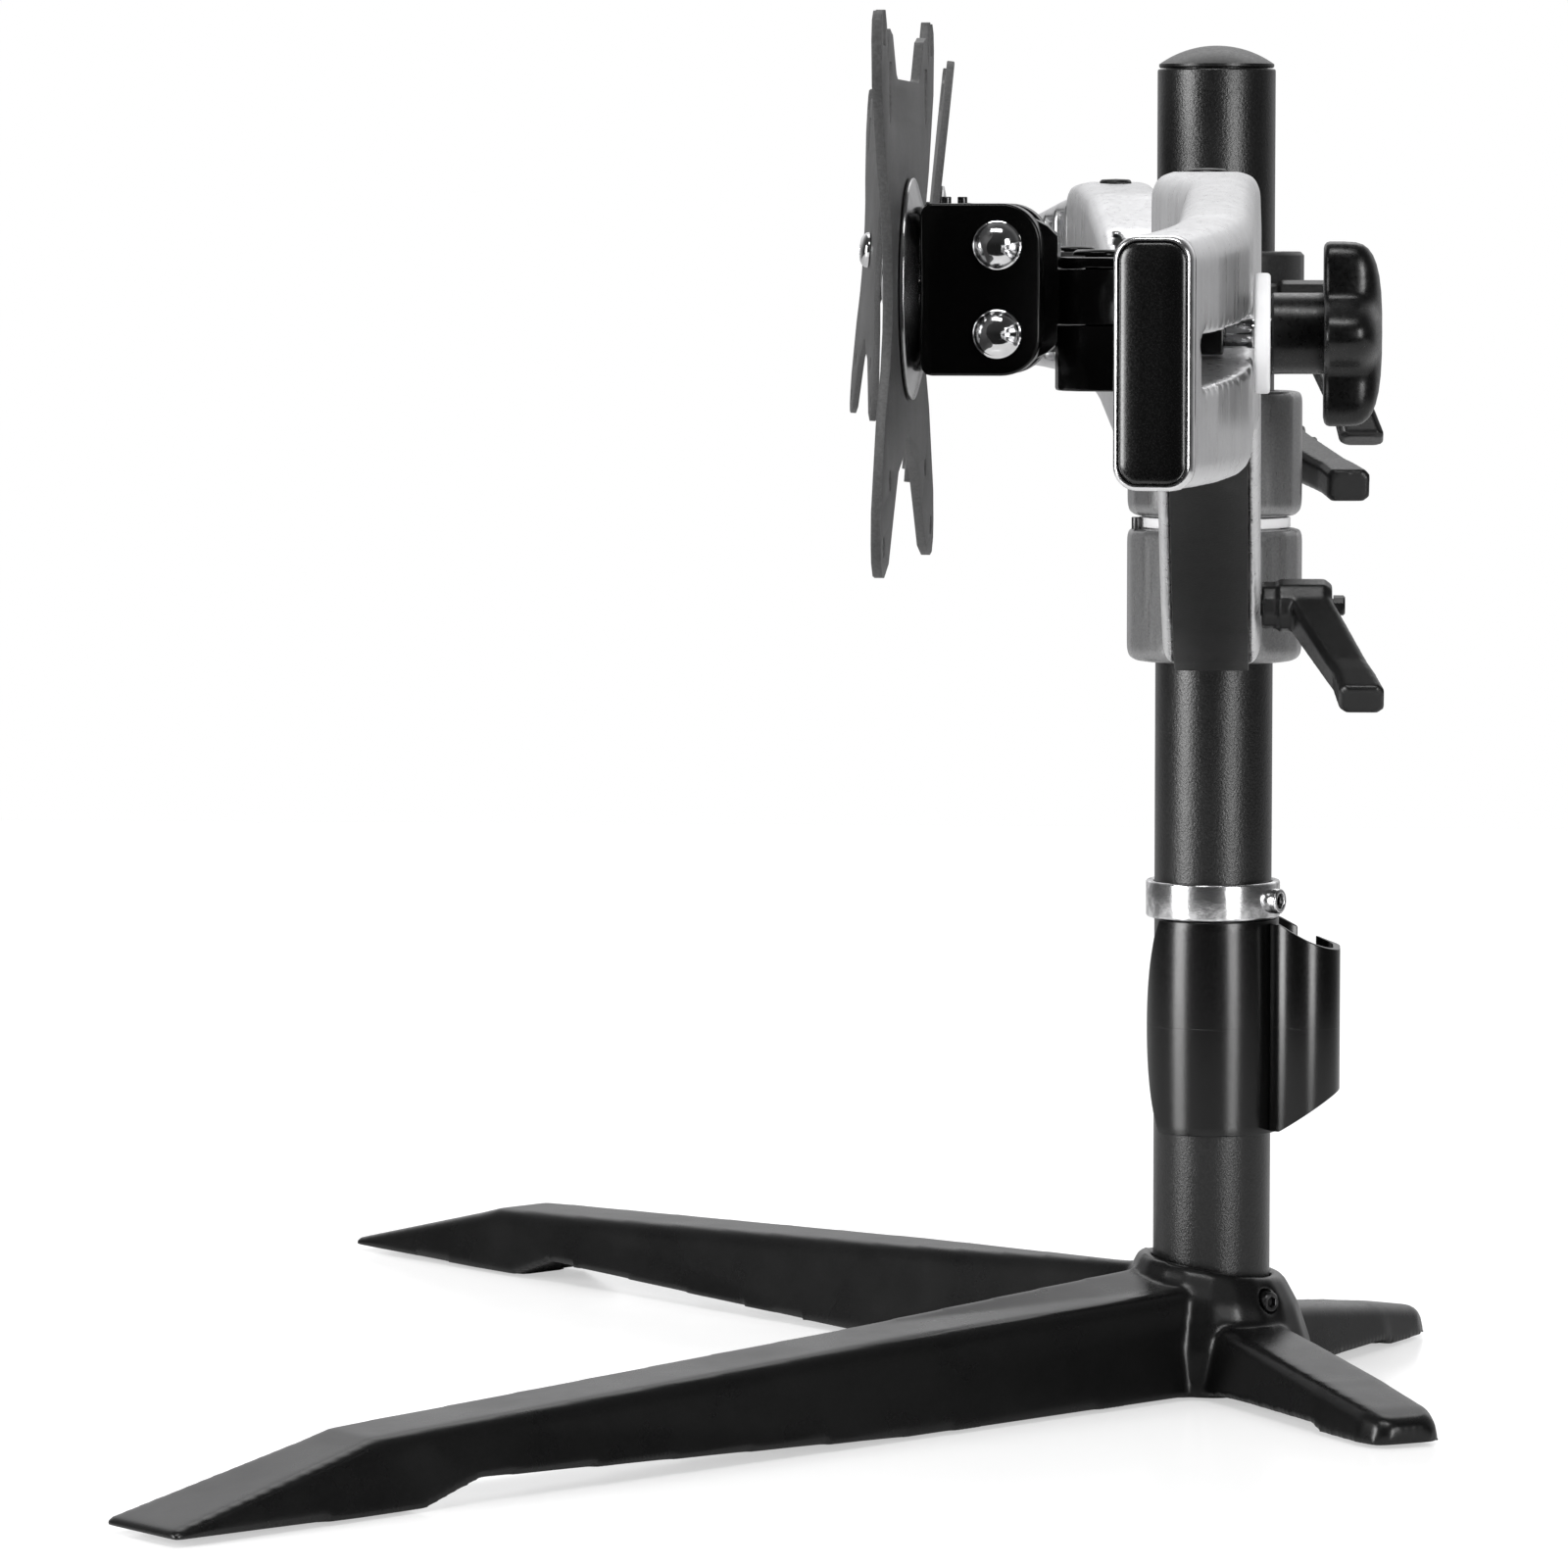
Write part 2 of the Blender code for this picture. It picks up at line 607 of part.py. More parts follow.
def build_liner(name, span, frame, flange):
    low, high = span
    inner = POLE_RADIUS + GAP
    outer = inner + LINER_WALL
    if flange:
        rim = high + GAP + flange
        ring = [
            (inner, rim), (FLANGE_RADIUS, rim), (FLANGE_RADIUS, high + GAP), (outer, high + GAP),
            (outer, low), (inner, low),
        ]
    else:
        ring = [(inner, high), (outer, high), (outer, low), (inner, low)]
    return piece(name, turned(ring, ROUND, ring=True), "nylon", frame)


def clamp_cut(low, high, ear_end, side):
    """The collar's split: a slot from the bore along the ear, and the ear's free end."""
    slot_low = CLAMP_SLOT_Y - CLAMP_SLOT / 2
    slot_high = CLAMP_SLOT_Y + CLAMP_SLOT / 2
    start = 10 * MM
    outline = [
        (start, slot_low), (ear_end + CLAMP_SLOT, slot_low), (ear_end + CLAMP_SLOT, ARM_REAR + 5 * MM),
        (ear_end, ARM_REAR + 5 * MM), (ear_end, slot_high), (start, slot_high),
    ]
    return flat([[(x * side, y) for x, y in outline]], low - 2 * MM, high + 6 * MM)


def lever_hole(x, z):
    return rod((x, -6 * MM, z), (x, ARM_REAR + 10 * MM, z), LEVER_SCREW_RADIUS + GAP)


def build_lever(side_name, frame, finish="black_plastic"):
    """A clamp lever on its screw. Its frame's +Y is the screw's axis, and its origin the hub's foot."""
    r = LEVER_HUB_RADIUS
    length = LEVER_HUB_LENGTH
    hub = [(0, 0), (r - 0.8 * MM, 0), (r - 0.8 * MM, 4 * MM), (r, 4.6 * MM), (r, length - 2 * MM),
           (r - 1.6 * MM, length), (0, length)]
    lever = piece(side_name + "_lever", turned(hub, SMALL, to_axis_y()), finish, frame)
    rings = []
    stations = (
        (-1.0, 7.0, 18.0, 5.6), (4.0, 7.0, 19.0, 5.8), (12.0, 10.4, 22.2, 5.2), (26.0, 16.6, 27.6, 4.5),
        (30.0, 18.6, 29.4, 4.6), (LEVER_LENGTH / MM - 1, 20.2, 32.0, 4.6), (LEVER_LENGTH / MM, 21.2, 31.2, 3.8),
    )
    for drop, near, far, half in stations:
        ring = rounded_box_outline(half * MM, near * MM, far * MM, 1.5 * MM, 1)
        rings.append([(x, y, -drop * MM) for x, y in ring])
    join(lever, loft(rings))
    shank = LEVER_SCREW_RADIUS + GAP
    step = length - 6 * MM
    bore = [(0, -MM), (shank, -MM), (shank, step), (2.1 * MM, step), (2.1 * MM, length + 8 * MM), (0, length + 8 * MM)]
    cut(lever, turned(bore, SMALL, to_axis_y()))
    head_seat = length + GAP
    screw_profile = [
        (0, -ARM_REAR - 2 * MM), (LEVER_SCREW_RADIUS, -ARM_REAR - 2 * MM), (LEVER_SCREW_RADIUS, step - GAP),
        (1.8 * MM, step - GAP), (1.8 * MM, head_seat), (2.7 * MM, head_seat), (2.7 * MM, head_seat + 2.6 * MM),
        (2.2 * MM, head_seat + 3.1 * MM), (0, head_seat + 3.1 * MM),
    ]
    piece(side_name + "_lever_screw", turned(screw_profile, SMALL, to_axis_y()), "black_coat", frame)


# Arms

def arm_bottom(x, root):
    return ease(x, ROOT_END, INSERT_END + 10 * MM, root, BAR_BOTTOM)


def arm_top(x, root):
    if x <= PEAK_X:
        return ease(x, 40 * MM, PEAK_X, root, PEAK_Z)
    end = BEND_START + BEND_RADIUS * math.sin(BEND_ANGLE)
    return PEAK_Z - (PEAK_Z - BAR_END_TOP) * ((x - PEAK_X) / (end - PEAK_X)) ** 1.4


def bar_points(angle):
    """Rear and front of the bar in plan, past the bend's start, at a turn of the bend."""
    centre = Vector((BEND_START, BAR_REAR - BEND_RADIUS))
    out = Vector((math.sin(angle), math.cos(angle)))
    return centre + out * BEND_RADIUS, centre + out * (BEND_RADIUS - BAR_THICKNESS)


def section_ring(rear, front, low, high, rounding):
    """A round-cornered section between two points in plan and two heights."""
    half = (rear - front).length / 2
    middle = (rear + front) / 2
    way = (rear - front).normalized()
    outline = rounded_box_outline(half, low, high, rounding, 2)
    return [(middle.x + way.x * u, middle.y + way.y * u, z) for u, z in outline]


def arm_stations():
    """Distances along the straight part, then turns of the bend."""
    straight = [14 * MM, 50 * MM]
    steps = 6
    straight += [50 * MM + (PEAK_X - 50 * MM) * i / steps for i in range(1, steps + 1)]
    rise = 3
    straight += [PEAK_X + (BAR_FULL - PEAK_X) * i / rise for i in range(1, rise + 1)]
    straight += [(BAR_FULL + BEND_START) / 2, BEND_START]
    turns = [BEND_ANGLE * i / 4 for i in range(1, 5)]
    return straight, turns


def arm_body(low_root, high_root, side):
    straight, turns = arm_stations()
    rings = []
    for x in straight:
        rear = Vector((x, ease(x, BAR_START - 40 * MM, BAR_START, ARM_REAR, BAR_REAR)))
        front = Vector((x, ease(x, BAR_START - 8 * MM, BAR_FULL, ARM_FRONT, BAR_REAR - BAR_THICKNESS)))
        rings.append(section_ring(rear, front, arm_bottom(x, low_root), arm_top(x, high_root), ARM_ROUNDING))
    for turn in turns:
        rear, front = bar_points(turn)
        x = (rear.x + front.x) / 2
        rings.append(section_ring(rear, front, BAR_BOTTOM, arm_top(x, high_root), ARM_ROUNDING))
    return loft(rings, side)


def insert_body(low_root, side, grow):
    """The panel that fills the arm's underside. With grow it is the recess for it."""
    start = ROOT_END + 2 * MM - grow
    end = INSERT_END + grow
    count = 7
    rings = []
    for i in range(count + 1):
        x = start + (end - start) * i / count
        low = arm_bottom(x, low_root)
        slope = (arm_bottom(x + MM, low_root) - arm_bottom(x - MM, low_root)) / (2 * MM)
        depth = (INSERT_THICKNESS + grow) * math.hypot(1, slope)
        dip = 6 * MM if grow else 0.0
        front, rear = ARM_FRONT + INSERT_BORDER - grow, ARM_REAR - INSERT_BORDER + grow
        rings.append([(x, front, low - dip), (x, rear, low - dip), (x, rear, low + depth), (x, front, low + depth)])
    return loft(rings, side)


def cap_body(high_root, side, grow):
    """The plug in the arm's end. With grow it is the pocket for it."""
    rings = []
    end_rear, end_front = bar_points(BEND_ANGLE)
    inset = CAP_RIM - grow
    depth = CAP_DEPTH + grow
    proud = CAP_PROUD + 4 * MM if grow else CAP_PROUD
    stops = [(-depth, 0.0), (proud * (1.0 if grow else 0.35), 0.0)]
    if not grow:
        stops.append((CAP_PROUD, 1.2 * MM))
    across = (end_rear - end_front).normalized()
    along = Vector((across.y, -across.x))
    high = arm_top((end_rear.x + end_front.x) / 2, high_root)
    for distance, shrink in stops:
        edge = inset + shrink
        shift = along * distance
        rear = end_rear - across * edge + shift
        front = end_front + across * edge + shift
        rings.append(section_ring(rear, front, BAR_BOTTOM + edge, high - edge, ARM_ROUNDING - edge * 0.6))
    return loft(rings, side)


def slot_centre(x):
    """Height of the bolt slot's middle line."""
    return BOLT_Z - (x - HEAD_X) * math.tan(SLOT_SLOPE)


def slot_body(side):
    half = SLOT_HEIGHT / 2
    outer = (SLOT_OUTER_X - half, slot_centre(SLOT_OUTER_X - half))
    inner = (SLOT_INNER_X + half, slot_centre(SLOT_INNER_X + half))
    corner = 2.2 * MM
    outline = (
        arc((outer[0] + half - corner, outer[1] - half + corner), corner, -90, 0, 2)
        + arc((outer[0] + half - corner, outer[1] + half - corner), corner, 0, 90, 2)
        + arc((inner[0] - half + corner, inner[1] + half - corner), corner, 90, 180, 2)
        + arc((inner[0] - half + corner, inner[1] - half + corner), corner, 180, 270, 2)
    )
    return flat([[(x * side, z) for x, z in outline]], -40 * MM, 40 * MM, face_front())


def pocket_bodies(side):
    """Cast pockets in the bar's front face, above and below the slot, with ribs between them."""
    count = 5
    rib = 3 * MM
    first, last = BAR_FULL + 2 * MM, BEND_START + 40 * MM
    pitch = (last - first + rib) / count
    depth = BAR_THICKNESS - 4.5 * MM
    shapes = []
    for i in range(count):
        x0 = first + i * pitch
        x1 = x0 + pitch - rib
        middle = (x0 + x1) / 2
        drop = 0.0 if middle < BEND_START else (middle - BEND_START) ** 2 / (2 * BEND_RADIUS)
        back = BAR_REAR - BAR_THICKNESS + depth - drop
        slot_top = slot_centre(middle) + SLOT_HEIGHT / 2 + 2.5 * MM
        slot_low = slot_centre(middle) - SLOT_HEIGHT / 2 - 2.5 * MM
        wall = 4 * MM
        for low, high in ((slot_top, arm_top(x1, 0) - wall), (BAR_BOTTOM + wall, slot_low)):
            ends = sorted((x0 * side, x1 * side))
            shapes.append(box((ends[0], back - 40 * MM, low), (ends[1], back, high)))
    return shapes


def window_body(side):
    """The three-sided opening through the peak, beside the arm's front edge."""
    outline = [(-8.2 * MM, 318 * MM), (-9.3 * MM, 288 * MM), (1.5 * MM, 288 * MM)]
    shape = flat([outline], 150 * MM, 345 * MM, to_axis_x())
    if side < 0:
        shape.transform(Matrix.Scale(-1, 4, (1, 0, 0)))
        shape.flip_normals()
    return shape


def build_arm(name, side, span, frame):
    """An arm with its clamp collar, insert, end cap and top plug. Side -1 is the left arm."""
    low, high = span
    root_low, root_high = low + 1.5 * MM, high - 0.4 * MM
    arm = piece(name + "_arm", collar_mesh(low, high), "brushed_silver", frame)
    join(arm, arm_body(root_low, root_high, side))
    cut(arm, insert_body(root_low, side, GAP), cap_body(root_high, side, GAP))
    cut(arm, rod((0, 0, low - 5 * MM), (0, 0, high + 5 * MM), collar_bore(), ROUND))
    cut(arm, clamp_cut(low, high, EAR_END, side))
    lever_x = (EAR_END - LEVER_INSET) * side
    lever_z = (low + high) / 2
    cut(arm, lever_hole(lever_x, lever_z))
    cut(arm, slot_body(side))
    cut(arm, gathered(pocket_bodies(side)))
    cut(arm, window_body(side))
    plug_x = PEAK_X * side
    cut(arm, rod((plug_x, 0, PEAK_Z - 5 * MM), (plug_x, 0, PEAK_Z + 5 * MM), PLUG_RADIUS + GAP))
    plug = [(0, PEAK_Z - 5 * MM + GAP), (PLUG_RADIUS, PEAK_Z - 5 * MM + GAP), (PLUG_RADIUS, PEAK_Z),
            (PLUG_RADIUS - 0.6 * MM, PEAK_Z + 0.6 * MM), (0, PEAK_Z + 0.8 * MM)]
    piece(name + "_arm_plug", turned(plug, SMALL, Matrix.Translation((plug_x, 0, 0))), "black_plastic", frame)
    piece(name + "_arm_insert", insert_body(root_low, side, 0.0), "black_plastic", frame)
    piece(name + "_arm_end_cap", cap_body(root_high, side, 0.0), "gloss_black", frame)
    lever_frame = axis_empty(
        name + "_lever_axis", frame, (lever_x, ARM_REAR + GAP, lever_z), (0, math.radians(LEVER_TURN[name]), 0))
    build_lever(name, lever_frame)
    return arm


# Heads

def fork_shapes(pan_y, block_rear):
    """Block, lower boss, upper plate and bridges of the fork that holds a pan pin."""
    boss_top = EYE_LOW - GAP
    plate_low = EYE_HIGH + GAP
    plate_high = plate_low + FORK_PLATE
    block_front = block_rear - CARRIAGE_DEPTH
    half = CARRIAGE_HALF_WIDTH
    return [
        box((-half, block_front, BOSS_LOW), (half, block_rear, plate_high)),
        rod((0, pan_y, BOSS_LOW), (0, pan_y, boss_top), EYE_RADIUS, EYE_SIDES),
        box((-EYE_RADIUS, pan_y, BOSS_LOW), (EYE_RADIUS, block_front + OVERLAP, boss_top)),
        rod((0, pan_y, plate_low), (0, pan_y, plate_high), EYE_RADIUS, EYE_SIDES),
        box((-EYE_RADIUS, pan_y, plate_low), (EYE_RADIUS, block_front + OVERLAP, plate_high)),
    ]


def moved(meshes, place):
    for mesh in meshes:
        mesh.transform(Matrix.Translation(place))
    return meshes


def build_carriage(name, frame):
    """The block that slides on the arm's front face, keyed to the slot. Its frame is at the head's height."""
    seat = BAR_REAR - BAR_THICKNESS - GAP
    pan_y = seat - PAN_OFFSET
    bolt = BOLT_Z - HEAD_Z[name]
    shapes = fork_shapes(pan_y, seat)
    carriage = piece(name + "_carriage", shapes[0], "black_coat", frame)
    join(carriage, *shapes[1:])
    key = SLOT_HEIGHT / 2 - 0.6 * MM
    join(carriage, box((-8 * MM, seat - OVERLAP, bolt - key), (8 * MM, seat + 10 * MM, bolt + key)))
    cut(carriage, rod((0, pan_y, BOSS_LOW - 5 * MM), (0, pan_y, EYE_HIGH + 9 * MM), PIN_RADIUS + GAP))
    stud_start = seat - CARRIAGE_DEPTH + 2 * MM
    cut(carriage, rod((0, stud_start, bolt), (0, seat + 20 * MM, bolt), STUD_RADIUS + GAP))
    washer_low = BAR_REAR + GAP
    washer_high = washer_low + WASHER_THICKNESS
    hub_start = washer_high + GAP
    stud_end = hub_start + KNOB_HUB_LENGTH + 2 * MM
    stud = rod((0, stud_start + GAP, bolt), (0, stud_end, bolt), STUD_RADIUS)
    piece(name + "_slide_stud", stud, "chrome", frame)
    inner = STUD_RADIUS + GAP
    edge = 0.6 * MM
    ring = [
        (inner, washer_high), (WASHER_RADIUS - edge, washer_high), (WASHER_RADIUS, washer_high - edge),
        (WASHER_RADIUS, washer_low), (inner, washer_low),
    ]
    at_bolt = Matrix.Translation((0, 0, bolt)) @ to_axis_y()
    piece(name + "_washer", turned(ring, EYE_SIDES, at_bolt, ring=True), "nylon", frame)
    knob_frame = axis_empty(name + "_knob_axis", frame, (0, hub_start, bolt))
    build_knob(name, knob_frame)
    return pan_y


def star_outline(radius, lobes, steps=4):
    """A star knob's rim: round lobes with hollows between them."""
    points = []
    total = lobes * steps
    for i in range(total):
        angle = 2 * math.pi * i / total
        reach = radius - KNOB_HOLLOW * (1 - math.cos(lobes * angle)) / 2
        points.append((reach * math.cos(angle), reach * math.sin(angle)))
    return points


def build_knob(name, frame):
    """A star knob with a domed back, on a round hub. Its frame's +Y is its axis."""
    start = KNOB_HUB_LENGTH
    layers = ((0.0, 0.97), (0.05, 1.0), (0.6, 0.99), (0.76, 0.91), (0.88, 0.72), (0.97, 0.4))
    outline = star_outline(KNOB_RADIUS, KNOB_LOBES)
    rings = [[(x * scale, start + KNOB_DEPTH * share, z * scale) for x, z in outline] for share, scale in layers]
    knob = piece(name + "_knob", loft(rings), "black_plastic", frame)
    join(knob, rod((0, 0, 0), (0, start + 2 * MM, 0), KNOB_HUB_RADIUS, EYE_SIDES))
    cut(knob, rod((0, -5 * MM, 0), (0, start + 3 * MM, 0), STUD_RADIUS + GAP))


def build_pan_pin(name, frame):
    """The pin through the fork and the link's eye, with a low round head on top."""
    top = EYE_HIGH + GAP + FORK_PLATE + GAP
    profile = [
        (0, BOSS_LOW + GAP), (PIN_RADIUS, BOSS_LOW + GAP), (PIN_RADIUS, top), (5.6 * MM, top),
        (5.6 * MM, top + 0.5 * MM), (4.4 * MM, top + 1.2 * MM), (0, top + 1.2 * MM),
    ]
    piece(name + "_pan_pin", turned(profile, SMALL), "black_coat", frame)


def tongue_slot(sign):
    """An arc slot for one tilt bolt, about the tilt axis, in YZ."""
    half = TILT_BOLT_RADIUS + GAP
    swing = math.degrees(TILT_LIMIT) + 3.0
    middle = 90.0 * sign
    outer, inner = TILT_BOLT_SPREAD + half, TILT_BOLT_SPREAD - half
    end_one = (TILT_BOLT_SPREAD * math.cos(math.radians(middle + swing)),
               TILT_BOLT_SPREAD * math.sin(math.radians(middle + swing)))
    end_two = (TILT_BOLT_SPREAD * math.cos(math.radians(middle - swing)),
               TILT_BOLT_SPREAD * math.sin(math.radians(middle - swing)))
    outline = (
        arc((0, 0), outer, middle - swing, middle + swing, 3)
        + arc(end_one, half, middle + swing, middle + swing + 180, 3)[1:-1]
        + arc((0, 0), inner, middle + swing, middle - swing, 2)
        + arc(end_two, half, middle - swing + 180, middle - swing + 360, 3)[1:-1]
    )
    return outline


def build_link(name, frame):
    """The pan eye, its neck and the round tongue. Its frame is the pan axis, with the tilt axis ahead."""
    half = TONGUE_HALF_THICKNESS
    r = TONGUE_RADIUS
    flat_half = math.sqrt(r ** 2 - TONGUE_FLAT ** 2)
    start = math.degrees(math.atan2(-flat_half, -TONGUE_FLAT))
    end = math.degrees(math.atan2(flat_half, -TONGUE_FLAT))
    disc = arc((0, 0), r, start, end, EYE_SIDES + 2)
    place = Matrix.Translation((0, -TILT_OFFSET, 0)) @ to_axis_x()
    tongue = flat([disc], -half, half, place)
    link = piece(name + "_link", tongue, "black_coat", frame)
    neck = box((-half + 0.2 * MM, -TILT_OFFSET + 4 * MM, EYE_LOW), (half - 0.2 * MM, 0, EYE_HIGH))
    eye = rod((0, 0, EYE_LOW), (0, 0, EYE_HIGH), EYE_RADIUS, EYE_SIDES)
    clearance = flat([circle((0, 0), EYE_RADIUS + 0.4 * MM, EYE_SIDES)], EYE_HIGH, EYE_HIGH + 20 * MM)
    below = flat([circle((0, 0), EYE_RADIUS + 0.4 * MM, EYE_SIDES)], BOSS_LOW - 5 * MM, EYE_LOW)
    cut(link, clearance, below)
    join(link, neck, eye)
    cut(link, rod((0, 0, EYE_LOW - 5 * MM), (0, 0, EYE_HIGH + 5 * MM), PIN_RADIUS + GAP))
    for sign in (1, -1):
        cut(link, flat([tongue_slot(sign)], -20 * MM, 20 * MM, place))


def build_clevis(name, frame):
    """Two cheeks that straddle the tongue, joined by a web behind the plate. Its frame is the tilt axis."""
    r = CLEVIS_ROUNDING
    h = CLEVIS_HALF_HEIGHT
    small = 2.5 * MM
    outline = (
        arc((CLEVIS_REAR - r, -h + r), r, -90, 0, 3) + arc((CLEVIS_REAR - r, h - r), r, 0, 90, 3)
        + arc((-CLEVIS_FRONT + small, h - small), small, 90, 180, 1)
        + arc((-CLEVIS_FRONT + small, -h + small), small, 180, 270, 1)
    )
    clevis = piece(
        name + "_clevis", flat([outline], -CLEVIS_HALF_WIDTH, CLEVIS_HALF_WIDTH, to_axis_x()), "black_coat", frame)
    gap = TONGUE_HALF_THICKNESS + GAP
    web = -CLEVIS_FRONT + CLEVIS_WEB
    cut(clevis, box((-gap, web, -h - 5 * MM), (gap, CLEVIS_REAR + 5 * MM, h + 5 * MM)))
    for sign in (1, -1):
        z = TILT_BOLT_SPREAD * sign
        cut(clevis, rod((-30 * MM, 0, z), (30 * MM, 0, z), TILT_BOLT_RADIUS + GAP))
    cut(clevis, rod((0, -CLEVIS_FRONT - 5 * MM, 0), (0, web + MM, 0), CENTRE_SCREW_RADIUS + GAP))
    for place, sign in (("upper", 1), ("lower", -1)):
        build_tilt_bolt(name + "_" + place + "_tilt_bolt", TILT_BOLT_SPREAD * sign, frame)


def build_tilt_bolt(name, z, frame):
    """A domed bolt through both cheeks and the tongue's slot, with its nut."""
    seat = CLEVIS_HALF_WIDTH + GAP
    nut = -seat - 2.8 * MM
    end = nut - 0.8 * MM
    profile = [(0, end), (TILT_BOLT_RADIUS, end), (TILT_BOLT_RADIUS, seat)]
    profile += [(4.9 * MM * math.cos(a), seat + 3.4 * MM * math.sin(a)) for a in (0, 0.45, 0.95)]
    profile += [(0, seat + 3.4 * MM)]
    at_axis = Matrix.Translation((0, 0, z)) @ to_axis_x()
    bolt = piece(name, turned(profile, SMALL, at_axis), "chrome", frame)
    join(bolt, rod((-seat, 0, z), (nut, 0, z), 4.4 * MM, 6))


def plate_outline():
    """The plate's rim, right half from the top notch down, then mirrored: four legs with two fingers each."""
    right = [(22 * MM, 42 * MM), (25 * MM, 43 * MM), (32.5 * MM, 50.5 * MM)]
    right += arc((37.5 * MM, 47.5 * MM), 4.2 * MM, 125, 35, 2)
    right += [(43.2 * MM, 45.5 * MM)]
    right += arc((WIDE_PATTERN, PLATE_TOP - 6 * MM), 6 * MM, 155, -5, 4)
    right += [(55 * MM, 40 * MM), (45 * MM, 24 * MM)]
    right += arc((60 * MM, 0), 27.5 * MM, 145, 215, 4)
    right += [(46 * MM, -25 * MM), (56 * MM, -43 * MM)]
    right += arc((WIDE_PATTERN, -PLATE_BOTTOM + 6.5 * MM), 6.5 * MM, 5, -100, 3)
    right += [(40 * MM, -54 * MM), (30 * MM, -45 * MM), (20 * MM, -36.5 * MM)]
    right += arc((0, -42 * MM), 12.5 * MM, 42, 90, 2)
    left = [(-u, v) for u, v in reversed(right[:-1])]
    return right + left


def plate_holes():
    holes = [circle((0, 0), CENTRE_SCREW_RADIUS + GAP, 8)]
    for sign in (1, -1):
        holes.append(circle((sign * NARROW_PATTERN, -NARROW_PATTERN), PLATE_HOLE, 8))
        holes.append(circle((sign * WIDE_PATTERN, -WIDE_PATTERN), PLATE_HOLE, 8))
        u = sign * NARROW_PATTERN
        wide = 3.6 * MM
        holes.append(
            arc((u, NARROW_PATTERN - 2.4 * MM), PLATE_HOLE, 180, 360, 2) + arc((u, 42.5 * MM), wide, -45, 225, 3))
    return holes


def build_plate(name, frame):
    """Flange, plate and centre screw. Its frame is the tilt axis, and it turns about that frame's Y."""
    back = -CLEVIS_FRONT - GAP
    front = back - FLANGE_DEPTH
    hole = CENTRE_SCREW_RADIUS + GAP
    ring = [(hole, front), (FLANGE_FRONT_RADIUS, front), (FLANGE_FRONT_RADIUS, front + 0.9 * MM),
            (FLANGE_BACK_RADIUS, back), (hole, back)]
    piece(name + "_flange", turned(ring, ROUND, to_axis_y(), ring=True), "grey_paint", frame)
    plate_back = front - GAP
    plate_front = plate_back - PLATE_THICKNESS
    plate = piece(
        name + "_plate", flat([plate_outline()] + plate_holes(), -plate_back, -plate_front, face_front()),
        "plate_coat", frame)
    for sign in (1, -1):
        u = sign * WIDE_PATTERN
        slot = [(u - PLATE_HOLE, WIDE_PATTERN - 2 * MM), (u + PLATE_HOLE, WIDE_PATTERN - 2 * MM),
                (u + PLATE_HOLE, PLATE_TOP + 8 * MM), (u - PLATE_HOLE, PLATE_TOP + 8 * MM)]
        cut(plate, flat([slot], -back - 5 * MM, -plate_front + 5 * MM, face_front()))
    head = plate_front - GAP
    web = -CLEVIS_FRONT + CLEVIS_WEB - 0.4 * MM
    profile = [(0, web), (CENTRE_SCREW_RADIUS, web), (CENTRE_SCREW_RADIUS, head), (6 * MM, head),
               (5.6 * MM, head - 1.6 * MM), (3.6 * MM, head - 2.8 * MM), (0, head - 3 * MM)]
    piece(name + "_centre_screw", turned(profile, SMALL, to_axis_y()), "chrome", frame)
    return plate_front


def build_head(name, mount_frame, pan_place):
    """A head from its pan axis forward."""
    pan_frame = axis_empty(name + "_pan_axis", mount_frame, pan_place, (0, 0, math.radians(PAN[name])))
    build_link(name, pan_frame)
    tilt_frame = axis_empty(
        name + "_tilt_axis", pan_frame, (0, -TILT_OFFSET, 0), (math.radians(-TILT[name]), 0, 0))
    build_clevis(name, tilt_frame)
    plate_front = build_plate(name, tilt_frame)
    axis_empty(name + "_plate_face", tilt_frame, (0, plate_front, 0))


def build_side(name, side, span, liner_flange):
    """One arm on its liner, with its head."""
    swing = axis_empty(name + "_swivel_axis", None, (0, 0, 0), (0, 0, math.radians(ARM_SWING[name])))
    build_liner(name + "_liner", span, swing, liner_flange)
    build_arm(name, side, span, swing)
    slide = axis_empty(name + "_slide_axis", swing, (HEAD_X * side, 0, HEAD_Z[name]))
    pan_y = build_carriage(name, slide)
    build_pan_pin(name, axis_empty(name + "_pin_axis", slide, (0, pan_y, 0)))
    build_head(name, slide, (0, pan_y, 0))


